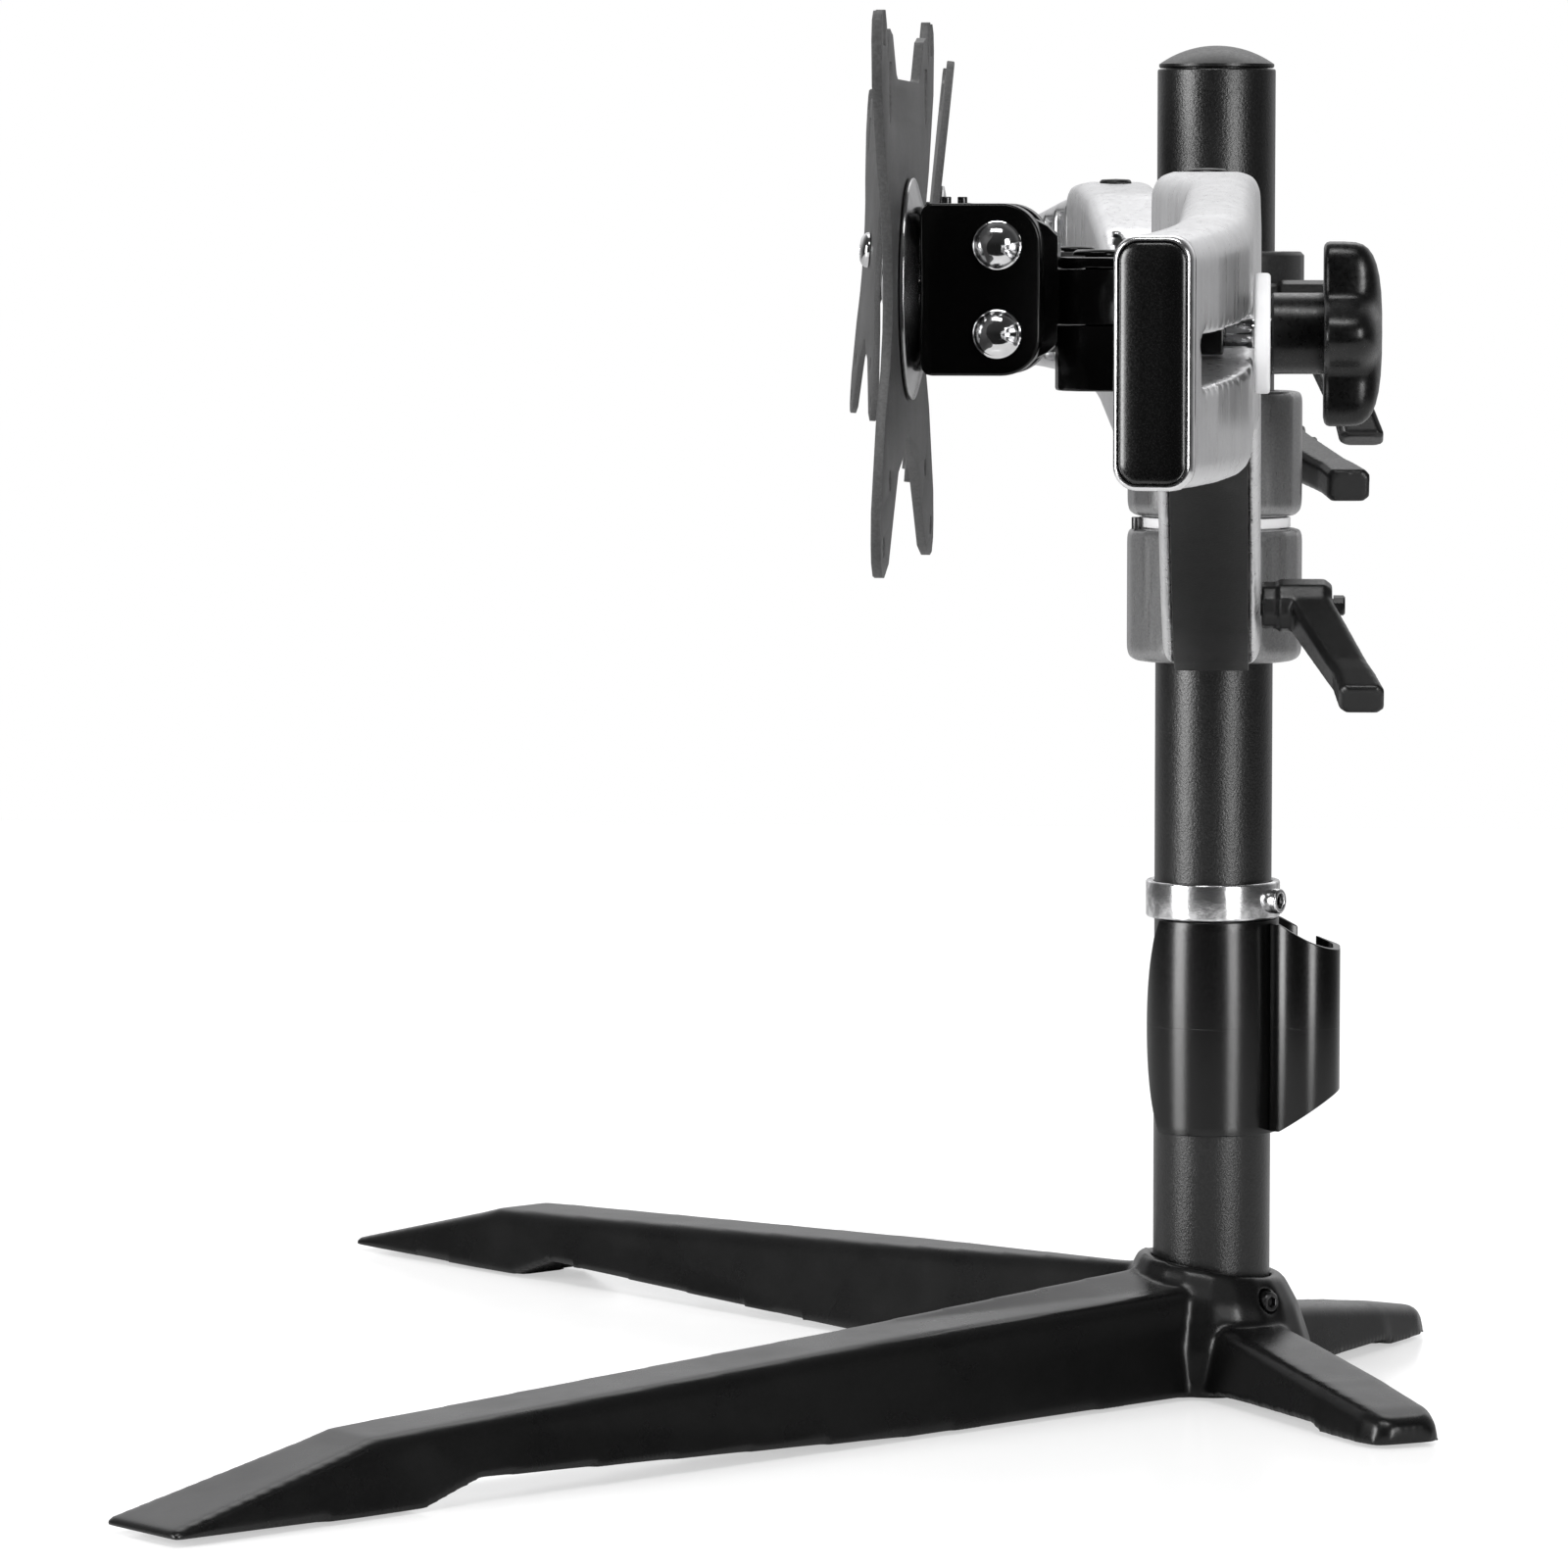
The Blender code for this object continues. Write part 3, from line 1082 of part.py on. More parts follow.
def build_middle():
    """The top collar with its fork, lever and head."""
    low, high = MIDDLE_COLLAR
    height = HEAD_Z["middle"]
    swing = axis_empty("middle_swivel_axis")
    build_liner("middle_liner", MIDDLE_COLLAR, swing, 0.0)
    collar = piece("middle_collar", collar_mesh(low, high), "black_coat", swing)
    block_rear = -COLLAR_RADIUS + 5 * MM
    join(collar, *moved(fork_shapes(MIDDLE_PAN_Y, block_rear), (0, 0, height)))
    ear = box((12 * MM, CLAMP_SLOT_Y - 9 * MM, low + 1.5 * MM), (MIDDLE_EAR_END, ARM_REAR, high - 1.5 * MM))
    join(collar, ear)
    cut(collar, rod((0, 0, low - 5 * MM), (0, 0, high + 15 * MM), collar_bore(), ROUND))
    cut(collar, clamp_cut(low, high, MIDDLE_EAR_END, 1))
    pin_low, pin_high = height + BOSS_LOW - 5 * MM, height + EYE_HIGH + 9 * MM
    cut(collar, rod((0, MIDDLE_PAN_Y, pin_low), (0, MIDDLE_PAN_Y, pin_high), PIN_RADIUS + GAP))
    lever_x = MIDDLE_EAR_END - LEVER_INSET
    lever_z = (low + high) / 2 + 2 * MM
    cut(collar, lever_hole(lever_x, lever_z))
    lever_frame = axis_empty(
        "middle_lever_axis", swing, (lever_x, ARM_REAR + GAP, lever_z), (0, math.radians(LEVER_TURN["middle"]), 0))
    build_lever("middle", lever_frame)
    build_pan_pin("middle", axis_empty("middle_pin_axis", swing, (0, MIDDLE_PAN_Y, height)))
    build_head("middle", swing, (0, MIDDLE_PAN_Y, height))


build_base()
build_pole()
build_cable_clip()
build_stop_collar()
FLANGE = LEFT_COLLAR[0] - RIGHT_COLLAR[1] - 2 * GAP
build_side("right", 1, RIGHT_COLLAR, FLANGE)
build_side("left", -1, LEFT_COLLAR, 0.0)
build_middle()
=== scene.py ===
"""The stand's looks: materials, rounder pieces, small fasteners, floor, light and camera round the model."""
import json
import math

import bmesh
import bpy
from mathutils import Matrix, Vector


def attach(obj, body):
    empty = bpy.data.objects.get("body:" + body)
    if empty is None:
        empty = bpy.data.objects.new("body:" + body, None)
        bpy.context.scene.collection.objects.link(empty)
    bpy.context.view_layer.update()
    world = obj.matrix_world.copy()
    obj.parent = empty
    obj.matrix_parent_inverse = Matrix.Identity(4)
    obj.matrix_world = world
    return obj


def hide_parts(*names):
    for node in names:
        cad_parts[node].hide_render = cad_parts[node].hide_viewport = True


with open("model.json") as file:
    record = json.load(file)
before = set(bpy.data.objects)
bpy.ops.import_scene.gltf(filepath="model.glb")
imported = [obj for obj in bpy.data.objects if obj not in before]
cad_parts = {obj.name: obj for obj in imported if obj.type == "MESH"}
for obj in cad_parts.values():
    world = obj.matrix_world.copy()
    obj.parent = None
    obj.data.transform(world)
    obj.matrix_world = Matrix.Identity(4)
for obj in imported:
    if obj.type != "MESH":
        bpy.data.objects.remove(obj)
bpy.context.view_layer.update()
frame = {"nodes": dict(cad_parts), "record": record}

MM = 0.001
PIXELS = 1600
FOCAL_PIXELS = 7400.0
CAMERA_PLACE = (1.9667, 0.0151, 0.3194)
CAMERA_YAW = -0.0670
CAMERA_PITCH = 0.0786
SIDES = ("right", "left", "middle")
END_TURN = math.radians(14.8)
SMOOTH_ANGLE = 35
BEVEL_ANGLE = 38
WELD_DISTANCE = 0.000002

# Strength of the world's plain light, glow of the floor to the camera, height in metres the lamps aim at
WORLD_LEVEL = 0.35
FLOOR_GLOW = 0.5
LAMP_AIM = 0.2

# Degrees: headings of the two set screws about the pole, the arms' swing, the heads' pan and tilt at rest
STOP_SCREW_HEADING = 62
BASE_SCREW_HEADING = 45
SWING_ANGLE = {"right": 0, "left": 7, "middle": 0}
PAN_ANGLE = {"right": -2.6, "left": 0.0, "middle": 3.2}
TILT_ANGLE = {"right": 0.0, "left": 3.4, "middle": 5.8}

# Metres: the outer heads' distance from the pole, the slide bolts' height, and the pan and tilt axes
HEAD_REACH = 0.495
SLIDE_HEIGHT = 0.2951
PAN_OUT = -0.0196
MIDDLE_PAN_OUT = -0.038
PAN_HEIGHT = {"right": 0.304, "left": 0.3056, "middle": 0.3024}
TILT_OUT = -0.0197
KNOB_SEAT = 0.0152

# Millimetres: the cable clip's height, its mould's parting line, and its cup's start, depth, slopes and edge
CLIP_LOW = 70.5
CLIP_HIGH = 128.5
CLIP_PARTING = (CLIP_LOW + CLIP_HIGH) / 2
CUP_START = 16.9
CUP_DEPTH = 21.0
CUP_RISE = 14.0
CUP_FALL = 8.2
CUP_EDGE = 0.8

# Millimetres: where the paint of an arm's collar gives way to brushed metal, from the pole's axis
PAINT_END = 24.2
BRUSHED_START = 24.8

# Millimetres: how far a tilt bolt is above or below the tilt axis
BOLT_SPREAD = 8.9

# Millimetres: the outline of an arm's end, and the middle of its end face
END_HALF_WIDTH = 7.8
END_LOW = 267.0
END_HIGH = 315.15
END_ROUNDING = 4.6
END_X = 596.1
END_Y = -7.35

BODY_OF = {node: body for body, nodes in frame["record"]["behaviour"]["bodies"].items() for node in nodes}
SLOT_OF = {row["node"]: row["material_slot"] for row in frame["record"]["subparts"]}


# Node helpers

class Nodes:
    """Short ways to lay out one material's nodes."""

    def __init__(self, name):
        self.material = bpy.data.materials.new(name)
        self.material.use_nodes = True
        self.tree = self.material.node_tree
        self.shader = self.tree.nodes["Principled BSDF"]
        self.place = self.add("ShaderNodeTexCoord").outputs["Object"]

    def add(self, kind, **values):
        node = self.tree.nodes.new(kind)
        for key, value in values.items():
            setattr(node, key, value)
        return node

    def link(self, source, target):
        self.tree.links.new(source, target)

    def stretched(self, scale):
        mapping = self.add("ShaderNodeMapping")
        mapping.inputs["Scale"].default_value = scale
        self.link(self.place, mapping.inputs["Vector"])
        return mapping.outputs["Vector"]

    def noise(self, scale, detail=2.0, rough=0.5, vector=None):
        node = self.add("ShaderNodeTexNoise")
        node.inputs["Scale"].default_value = scale
        node.inputs["Detail"].default_value = detail
        node.inputs["Roughness"].default_value = rough
        self.link(vector or self.place, node.inputs["Vector"])
        return node.outputs["Fac"]

    def ramp(self, value, low, high, start=0.3, end=0.7):
        node = self.add("ShaderNodeMapRange")
        node.inputs["From Min"].default_value = start
        node.inputs["From Max"].default_value = end
        node.inputs["To Min"].default_value = low
        node.inputs["To Max"].default_value = high
        self.link(value, node.inputs["Value"])
        return node.outputs["Result"]

    def colours(self, value, dark, light, start=0.3, end=0.7):
        node = self.add("ShaderNodeValToRGB")
        node.color_ramp.elements[0].position = start
        node.color_ramp.elements[1].position = end
        node.color_ramp.elements[0].color = (*dark, 1)
        node.color_ramp.elements[1].color = (*light, 1)
        self.link(value, node.inputs["Fac"])
        return node.outputs["Color"]

    def mixed(self, share, one, two):
        node = self.add("ShaderNodeMix", data_type="RGBA")
        self.link(share, node.inputs[0])
        self.link(one, node.inputs[6])
        self.link(two, node.inputs[7])
        return node.outputs[2]

    def bump(self, height, strength, distance):
        node = self.add("ShaderNodeBump")
        node.inputs["Strength"].default_value = strength
        node.inputs["Distance"].default_value = distance
        self.link(height, node.inputs["Height"])
        previous = self.shader.inputs["Normal"].links
        if previous:
            self.link(previous[0].from_socket, node.inputs["Normal"])
        self.link(node.outputs["Normal"], self.shader.inputs["Normal"])

    def set(self, **values):
        for key, value in values.items():
            socket = self.shader.inputs[key.replace("_", " ")]
            if hasattr(value, "is_linked"):
                self.link(value, socket)
            else:
                socket.default_value = value


def grey(value):
    return value, value, value * 1.01


def coat(name, dark, light, rough, grain, depth, level=0.5):
    """A baked black coat: fine grain with small pits, cloudy in its sheen."""
    n = Nodes(name)
    grain_height = n.noise(grain, 3.0, 0.6)
    cloud = n.noise(38.0, 4.0, 0.6)
    n.set(Base_Color=n.colours(grain_height, grey(dark), grey(light), 0.35, 0.68))
    n.set(Roughness=n.ramp(cloud, rough - 0.04, rough + 0.05), Specular_IOR_Level=level)
    n.bump(grain_height, 0.5, depth)
    return n.material


def moulded(name, dark, light, rough, grain, depth, level=0.5):
    """Moulded plastic: soft sheen and a faint spark-eroded grain."""
    n = Nodes(name)
    fine = n.noise(grain, 2.0, 0.5)
    cloud = n.noise(60.0, 3.0, 0.5)
    n.set(Base_Color=n.colours(cloud, grey(dark), grey(light), 0.35, 0.7))
    n.set(Roughness=n.ramp(fine, rough - 0.05, rough + 0.06), Specular_IOR_Level=level)
    n.bump(fine, 0.3, depth)
    return n.material


def clip_plastic(name):
    """The cable clip's satin plastic, with the parting line of its mould at half height."""
    n = Nodes(name)
    fine = n.noise(1500.0, 2.0, 0.5)
    cloud = n.noise(45.0, 3.0, 0.5)
    n.set(Base_Color=n.colours(cloud, grey(0.001), grey(0.002), 0.35, 0.7))
    n.set(Roughness=n.ramp(fine, 0.2, 0.27), Specular_IOR_Level=0.55)
    n.bump(fine, 0.2, 0.00002)
    split = n.add("ShaderNodeSeparateXYZ")
    n.link(n.place, split.inputs[0])
    away = n.add("ShaderNodeMath", operation="COMPARE")
    n.link(split.outputs["Z"], away.inputs[0])
    away.inputs[1].default_value = CLIP_PARTING * MM
    away.inputs[2].default_value = 0.16 * MM
    n.bump(away.outputs[0], 0.35, 0.0001)
    return n.material


def cast_silver(name):
    """Silver casting: brushed along its length, and a satin grey paint on the collar round the pole."""
    n = Nodes(name)
    streaks = n.noise(1.0, 4.0, 0.6, n.stretched((520, 520, 45)))
    fine = n.noise(1500.0, 3.0, 0.6)
    cloud = n.noise(55.0, 4.0, 0.6)
    brushed = n.mixed(n.ramp(cloud, 0.3, 0.7), n.colours(streaks, grey(0.56), grey(0.80), 0.3, 0.72),
                      n.colours(cloud, grey(0.60), grey(0.78), 0.35, 0.66))
    painted = n.colours(fine, grey(0.24), grey(0.34), 0.3, 0.7)
    split = n.add("ShaderNodeSeparateXYZ")
    n.link(n.place, split.inputs[0])
    plan = n.add("ShaderNodeCombineXYZ")
    n.link(split.outputs["X"], plan.inputs[0])
    n.link(split.outputs["Y"], plan.inputs[1])
    reach = n.add("ShaderNodeVectorMath", operation="LENGTH")
    n.link(plan.outputs[0], reach.inputs[0])
    outside = n.ramp(reach.outputs["Value"], 0.0, 1.0, PAINT_END * MM, BRUSHED_START * MM)
    n.set(Base_Color=n.mixed(outside, painted, brushed))
    n.set(Metallic=n.ramp(outside, 0.75, 1.0, 0.0, 1.0))
    n.set(Roughness=n.ramp(streaks, 0.25, 0.36))
    n.bump(fine, 0.22, 0.00003)
    n.bump(streaks, 0.18, 0.00003)
    return n.material


def plain_metal(name, dark, light, rough, cloud_scale):
    """Bare or plated metal, cloudy in its colour and sheen, with a faint grain."""
    n = Nodes(name)
    cloud = n.noise(cloud_scale, 4.0, 0.6)
    fine = n.noise(2400.0, 2.0, 0.5)
    n.set(Base_Color=n.colours(cloud, grey(dark), grey(light), 0.3, 0.7), Metallic=1.0)
    n.set(Roughness=n.ramp(cloud, rough - 0.03, rough + 0.05))
    n.bump(fine, 0.15, 0.00002)
    return n.material


def chrome_band(name):
    """Bright plate over a cast band, with mottled reflections."""
    n = Nodes(name)
    blot = n.noise(210.0, 4.0, 0.65)
    speck = n.noise(1900.0, 2.0, 0.6)
    n.set(Base_Color=n.colours(blot, grey(0.42), grey(0.95), 0.38, 0.6), Metallic=1.0)
    n.set(Roughness=n.ramp(blot, 0.26, 0.16))
    n.bump(blot, 0.3, 0.0002)
    n.bump(speck, 0.3, 0.00004)
    return n.material


BASE_COAT = coat("coat_base", 0.0020, 0.0050, 0.28, 1500.0, 0.00003, 0.45)
POLE_COAT = coat("coat_pole", 0.002, 0.009, 0.32, 1500.0, 0.0002, 0.6)
HEAD_COAT = coat("coat_head", 0.0008, 0.0016, 0.2, 2300.0, 0.00001, 0.25)
COLLAR_COAT = coat("coat_collar", 0.010, 0.022, 0.42, 1700.0, 0.00005)
PLATE_COAT = coat("coat_plate", 0.045, 0.070, 0.5, 1500.0, 0.00005)
INSERT_COAT = coat("coat_insert", 0.001, 0.005, 0.5, 1300.0, 0.00008, 0.3)
PLASTIC = moulded("plastic_black", 0.003, 0.006, 0.34, 1200.0, 0.00005)
KNOB_PLASTIC = moulded("plastic_knob", 0.0010, 0.003, 0.3, 1100.0, 0.00006, 0.4)
CLIP_PLASTIC = clip_plastic("plastic_clip")
GLOSS = moulded("plastic_gloss", 0.0010, 0.0015, 0.24, 2600.0, 0.000004, 0.7)
RUBBER = moulded("rubber_black", 0.010, 0.016, 0.75, 1100.0, 0.0001)
NYLON = moulded("nylon_white", 0.90, 0.95, 0.45, 900.0, 0.00004)
SILVER = cast_silver("silver_cast")
CHROME = plain_metal("chrome_plate", 0.62, 0.8, 0.08, 320.0)
RIM = plain_metal("silver_rim", 0.7, 0.84, 0.2, 300.0)
FLANGE = plain_metal("flange_metal", 0.28, 0.38, 0.2, 500.0)
STEEL = plain_metal("steel_dark", 0.05, 0.12, 0.32, 700.0)
BAND = chrome_band("chrome_band")

LOOKS = {
    "black_coat": BASE_COAT, "black_plastic": PLASTIC, "black_rubber": RUBBER, "gloss_black": GLOSS,
    "brushed_silver": SILVER, "grey_paint": FLANGE, "chrome": CHROME, "nylon": NYLON,
    "plate_coat": PLATE_COAT,
}
SPECIAL = {
    "pole_tube": POLE_COAT, "stop_collar": BAND, "cable_clip": CLIP_PLASTIC, "middle_collar": COLLAR_COAT,
}
for side in SIDES:
    SPECIAL[side + "_knob"] = KNOB_PLASTIC
    SPECIAL[side + "_arm_insert"] = INSERT_COAT
    for tail in ("_carriage", "_link", "_clevis", "_pan_pin"):
        SPECIAL[side + tail] = HEAD_COAT


# The carried-over nodes: welded, with soft edges

def smooth_group(degrees):
    """A modifier's nodes that smooth every edge flatter than an angle."""
    group = bpy.data.node_groups.new("smooth_under_%d" % degrees, "GeometryNodeTree")
    group.interface.new_socket("Geometry", in_out="INPUT", socket_type="NodeSocketGeometry")
    group.interface.new_socket("Geometry", in_out="OUTPUT", socket_type="NodeSocketGeometry")
    start = group.nodes.new("NodeGroupInput")
    end = group.nodes.new("NodeGroupOutput")
    faces = group.nodes.new("GeometryNodeSetShadeSmooth")
    faces.domain = "FACE"
    edges = group.nodes.new("GeometryNodeSetShadeSmooth")
    edges.domain = "EDGE"
    edges.inputs["Shade Smooth"].default_value = False
    angle = group.nodes.new("GeometryNodeInputMeshEdgeAngle")
    compare = group.nodes.new("FunctionNodeCompare")
    compare.operation = "GREATER_THAN"
    compare.inputs[1].default_value = math.radians(degrees)
    group.links.new(start.outputs[0], faces.inputs["Geometry"])
    group.links.new(faces.outputs[0], edges.inputs["Geometry"])
    group.links.new(angle.outputs["Unsigned Angle"], compare.inputs[0])
    group.links.new(compare.outputs[0], edges.inputs["Selection"])
    group.links.new(edges.outputs[0], end.inputs[0])
    return group


SMOOTH = smooth_group(SMOOTH_ANGLE)

# Bevel widths in mm by the end of a node's name
EDGES = {
    "_arm_insert": 0.3, "_arm_plug": 0.3, "_carriage": 0.8, "_link": 0.4, "_plate": 0.22, "_liner": 0.25,
    "_collar": 0.6, "_pad": 0.3, "_slide_stud": 0.3,
}

# Castings and levers: voxel size in mm, and rounds of smoothing
CAST = {
    "base_casting": (1.0, 9), "right_arm": (1.0, 9), "left_arm": (1.0, 9),
    "right_lever": (0.5, 5), "left_lever": (0.5, 5), "middle_lever": (0.5, 5),
}


def soften(name, node):
    """Joins the node's split corners, then rounds its edges."""
    weld = node.modifiers.new("weld", "WELD")
    weld.merge_threshold = WELD_DISTANCE
    if name in CAST:
        voxel, rounds = CAST[name]
        remesh = node.modifiers.new("cast", "REMESH")
        remesh.mode = "VOXEL"
        remesh.voxel_size = voxel * MM
        remesh.use_smooth_shade = True
        relax = node.modifiers.new("relax", "SMOOTH")
        relax.factor = 0.5
        relax.iterations = rounds
        return
    width = max([value for tail, value in EDGES.items() if name.endswith(tail)], default=0.0)
    if width:
        bevel = node.modifiers.new("edges", "BEVEL")
        bevel.width = width * MM
        bevel.segments = 2
        bevel.limit_method = "ANGLE"
        bevel.angle_limit = math.radians(BEVEL_ANGLE)
    smooth = node.modifiers.new("smooth", "NODES")
    smooth.node_group = SMOOTH


for name, node in frame["nodes"].items():
    if "custom_normal" in node.data.attributes:
        node.data.attributes.remove(node.data.attributes["custom_normal"])
    node.data.materials.clear()
    node.data.materials.append(SPECIAL.get(name, LOOKS[SLOT_OF[name]]))
    soften(name, node)


# Rounder pieces

def place(x, y, z):
    return Matrix.Translation((x, y, z))


def turn(degrees, axis):
    return Matrix.Rotation(math.radians(degrees), 4, axis)


TO_Y = turn(-90, "X")
TO_X = Matrix(((0, 0, 1, 0), (1, 0, 0, 0), (0, 1, 0, 0), (0, 0, 0, 1)))
SWING = {side: turn(SWING_ANGLE[side], "Z") for side in SIDES}
PAN_PLACE = {
    "right": place(HEAD_REACH, PAN_OUT, PAN_HEIGHT["right"]),
    "left": place(-HEAD_REACH, PAN_OUT, PAN_HEIGHT["left"]),
    "middle": place(0, MIDDLE_PAN_OUT, PAN_HEIGHT["middle"]),
}
PAN = {side: SWING[side] @ PAN_PLACE[side] @ turn(PAN_ANGLE[side], "Z") for side in SIDES}
TILT = {side: PAN[side] @ place(0, TILT_OUT, 0) @ turn(-TILT_ANGLE[side], "X") for side in SIDES}
SLIDE = {
    "right": SWING["right"] @ place(HEAD_REACH, 0, SLIDE_HEIGHT),
    "left": SWING["left"] @ place(-HEAD_REACH, 0, SLIDE_HEIGHT),
}


def rounded(points, radius, steps=3, ring=False):
    """A profile with its corners rounded."""
    out = []
    count = len(points)
    for i, point in enumerate(points):
        if not ring and i in (0, count - 1):
            out.append(tuple(point))
            continue
        corner, before, after = Vector(point), Vector(points[i - 1]), Vector(points[(i + 1) % count])
        one = corner + (before - corner).normalized() * min(radius, (before - corner).length * 0.45)
        two = corner + (after - corner).normalized() * min(radius, (after - corner).length * 0.45)
        for k in range(steps + 1):
            t = k / steps
            out.append(tuple(one * (1 - t) ** 2 + corner * 2 * t * (1 - t) + two * t ** 2))
    return out


def skin_rows(bm, rows, sides, ring=False):
    """Faces between neighbouring rows of points. A row of one point is the tip of a cone."""
    pairs = list(zip(rows, rows[1:])) + ([(rows[-1], rows[0])] if ring else [])
    for one, two in pairs:
        for k in range(sides):
            j = (k + 1) % sides
            corners = [one[k % len(one)], one[j % len(one)], two[j % len(two)], two[k % len(two)]]
            corners = [c for i, c in enumerate(corners) if c not in corners[:i]]
            if len(corners) > 2:
                bm.faces.new(corners)


def lathe(profile, sides=64, ring=False, hexed=()):
    """A turned shape about Z from (radius, height) points in mm. Rows named in hexed have six flats."""
    bm = bmesh.new()
    rows = []
    for i, (radius, height) in enumerate(profile):
        if radius < 1e-6:
            rows.append([bm.verts.new((0, 0, height * MM))])
            continue
        row = []
        for k in range(sides):
            angle = 2 * math.pi * k / sides
            reach = radius
            if i in hexed:
                reach = radius / math.cos((angle + math.pi / 6) % (math.pi / 3) - math.pi / 6)
            x = reach * MM * math.cos(angle)
            y = reach * MM * math.sin(angle)
            row.append(bm.verts.new((x, y, height * MM)))
        rows.append(row)
    skin_rows(bm, rows, sides, ring)
    return bm


def prism(outline, low, high):
    """A flat shape from an outline in mm in XY, between two heights."""
    bm = bmesh.new()
    rows = [[bm.verts.new((x * MM, y * MM, z * MM)) for x, y in outline] for z in (low, high)]
    count = len(outline)
    for k in range(count):
        j = (k + 1) % count
        bm.faces.new((rows[0][k], rows[0][j], rows[1][j], rows[1][k]))
    bm.faces.new(rows[0])
    bm.faces.new(rows[1])
    return bm


def arc(centre, radius, start, end, steps):
    points = []
    for k in range(steps + 1):
        angle = math.radians(start + (end - start) * k / steps)
        points.append((centre[0] + radius * math.cos(angle), centre[1] + radius * math.sin(angle)))
    return points


def finish(name, bm, matrix, body, material, replaces=None, bevel=0.0):
    """Makes a piece of the scene from a mesh, and hangs it on its body."""
    bmesh.ops.transform(bm, matrix=matrix, verts=bm.verts)
    bmesh.ops.recalc_face_normals(bm, faces=bm.faces)
    mesh = bpy.data.meshes.new(name)
    bm.to_mesh(mesh)
    bm.free()
    mesh.materials.append(material)
    item = bpy.data.objects.new(name, mesh)
    bpy.context.scene.collection.objects.link(item)
    if bevel:
        edges = item.modifiers.new("edges", "BEVEL")
        edges.width = bevel * MM
        edges.segments = 3
        edges.limit_method = "ANGLE"
        edges.angle_limit = math.radians(BEVEL_ANGLE)
    smooth = item.modifiers.new("smooth", "NODES")
    smooth.node_group = SMOOTH
    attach(item, body)
    if replaces:
        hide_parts(replaces)


def stand_in(node, bm, matrix, bevel=0.0):
    """A rounder piece in place of a node, in the node's finish."""
    material = SPECIAL.get(node, LOOKS[SLOT_OF[node]])
    finish(node + "_fine", bm, matrix, BODY_OF[node], material, node, bevel)


def build_pole():
    inner, outer, low, high = 13.9, 15.9, 7.3, 358.0
    tube = rounded([(inner, high), (outer, high), (outer, low), (inner, low)], 0.6, 3, True)
    stand_in("pole_tube", lathe(tube, 96, True), Matrix())
    rim, dome, base = 15.5, 5.0, 358.3
    radius = (rim ** 2 + dome ** 2) / (2 * dome)
    widest = math.asin(rim / radius)
    profile = [(0, 346.0), (13.6, 346.0), (13.6, base), (15.2, base), (rim, base + 0.3), (rim, base + 0.8)]
    steps = 20
    for k in range(steps):
        angle = widest * (1 - k / steps)
        profile.append((radius * math.sin(angle), base + 1.0 + dome - radius + radius * math.cos(angle)))
    profile.append((0, base + 1.0 + dome))
    stand_in("pole_cap", lathe(profile, 96), Matrix())


def build_stop_collar():
    inner, outer, low, high = 16.2, 18.2, 128.8, 138.8
    ring = rounded([(inner, high), (outer, high), (outer, low), (inner, low)], 0.8, 4, True)
    stand_in("stop_collar", lathe(ring, 96, True), Matrix())
    at_screw = turn(STOP_SCREW_HEADING, "Z") @ place(0, 0, (low + high) / 2 * MM) @ TO_X
    boss = rounded([(2.0, 16.6), (3.4, 16.6), (3.4, 20.9), (2.0, 20.9)], 0.5, 3, True)
    finish("stop_collar_boss", lathe(boss, 32, True), at_screw, "stand", BAND)
    finish("stop_collar_screw", socket_screw(1.95, 14.4, 20.2, 0.95), at_screw, "stand", STEEL)


def clip_wall(bm, stations):
    """A wall of the clip's cup through (outer, inner) points in plan, cut to the cup's slopes."""
    rows = []
    for pair in stations:
        row = []
        for x, y in pair:
            share = min(max((y - CUP_START) / CUP_DEPTH, 0.0), 1.0)
            low = max(CLIP_LOW + CUP_RISE * share, CLIP_LOW + CUP_EDGE)
            high = min(CLIP_HIGH - CUP_FALL * math.sin(share * math.pi / 2), CLIP_HIGH - CUP_EDGE)
            row += [bm.verts.new((x * MM, y * MM, low * MM)), bm.verts.new((x * MM, y * MM, high * MM))]
        rows.append((row[0], row[1], row[3], row[2]))
    for one, two in zip(rows, rows[1:]):
        for k in range(4):
            j = (k + 1) % 4
            bm.faces.new((one[k], one[j], two[j], two[k]))
    bm.faces.new(rows[0])
    bm.faces.new(rows[-1])


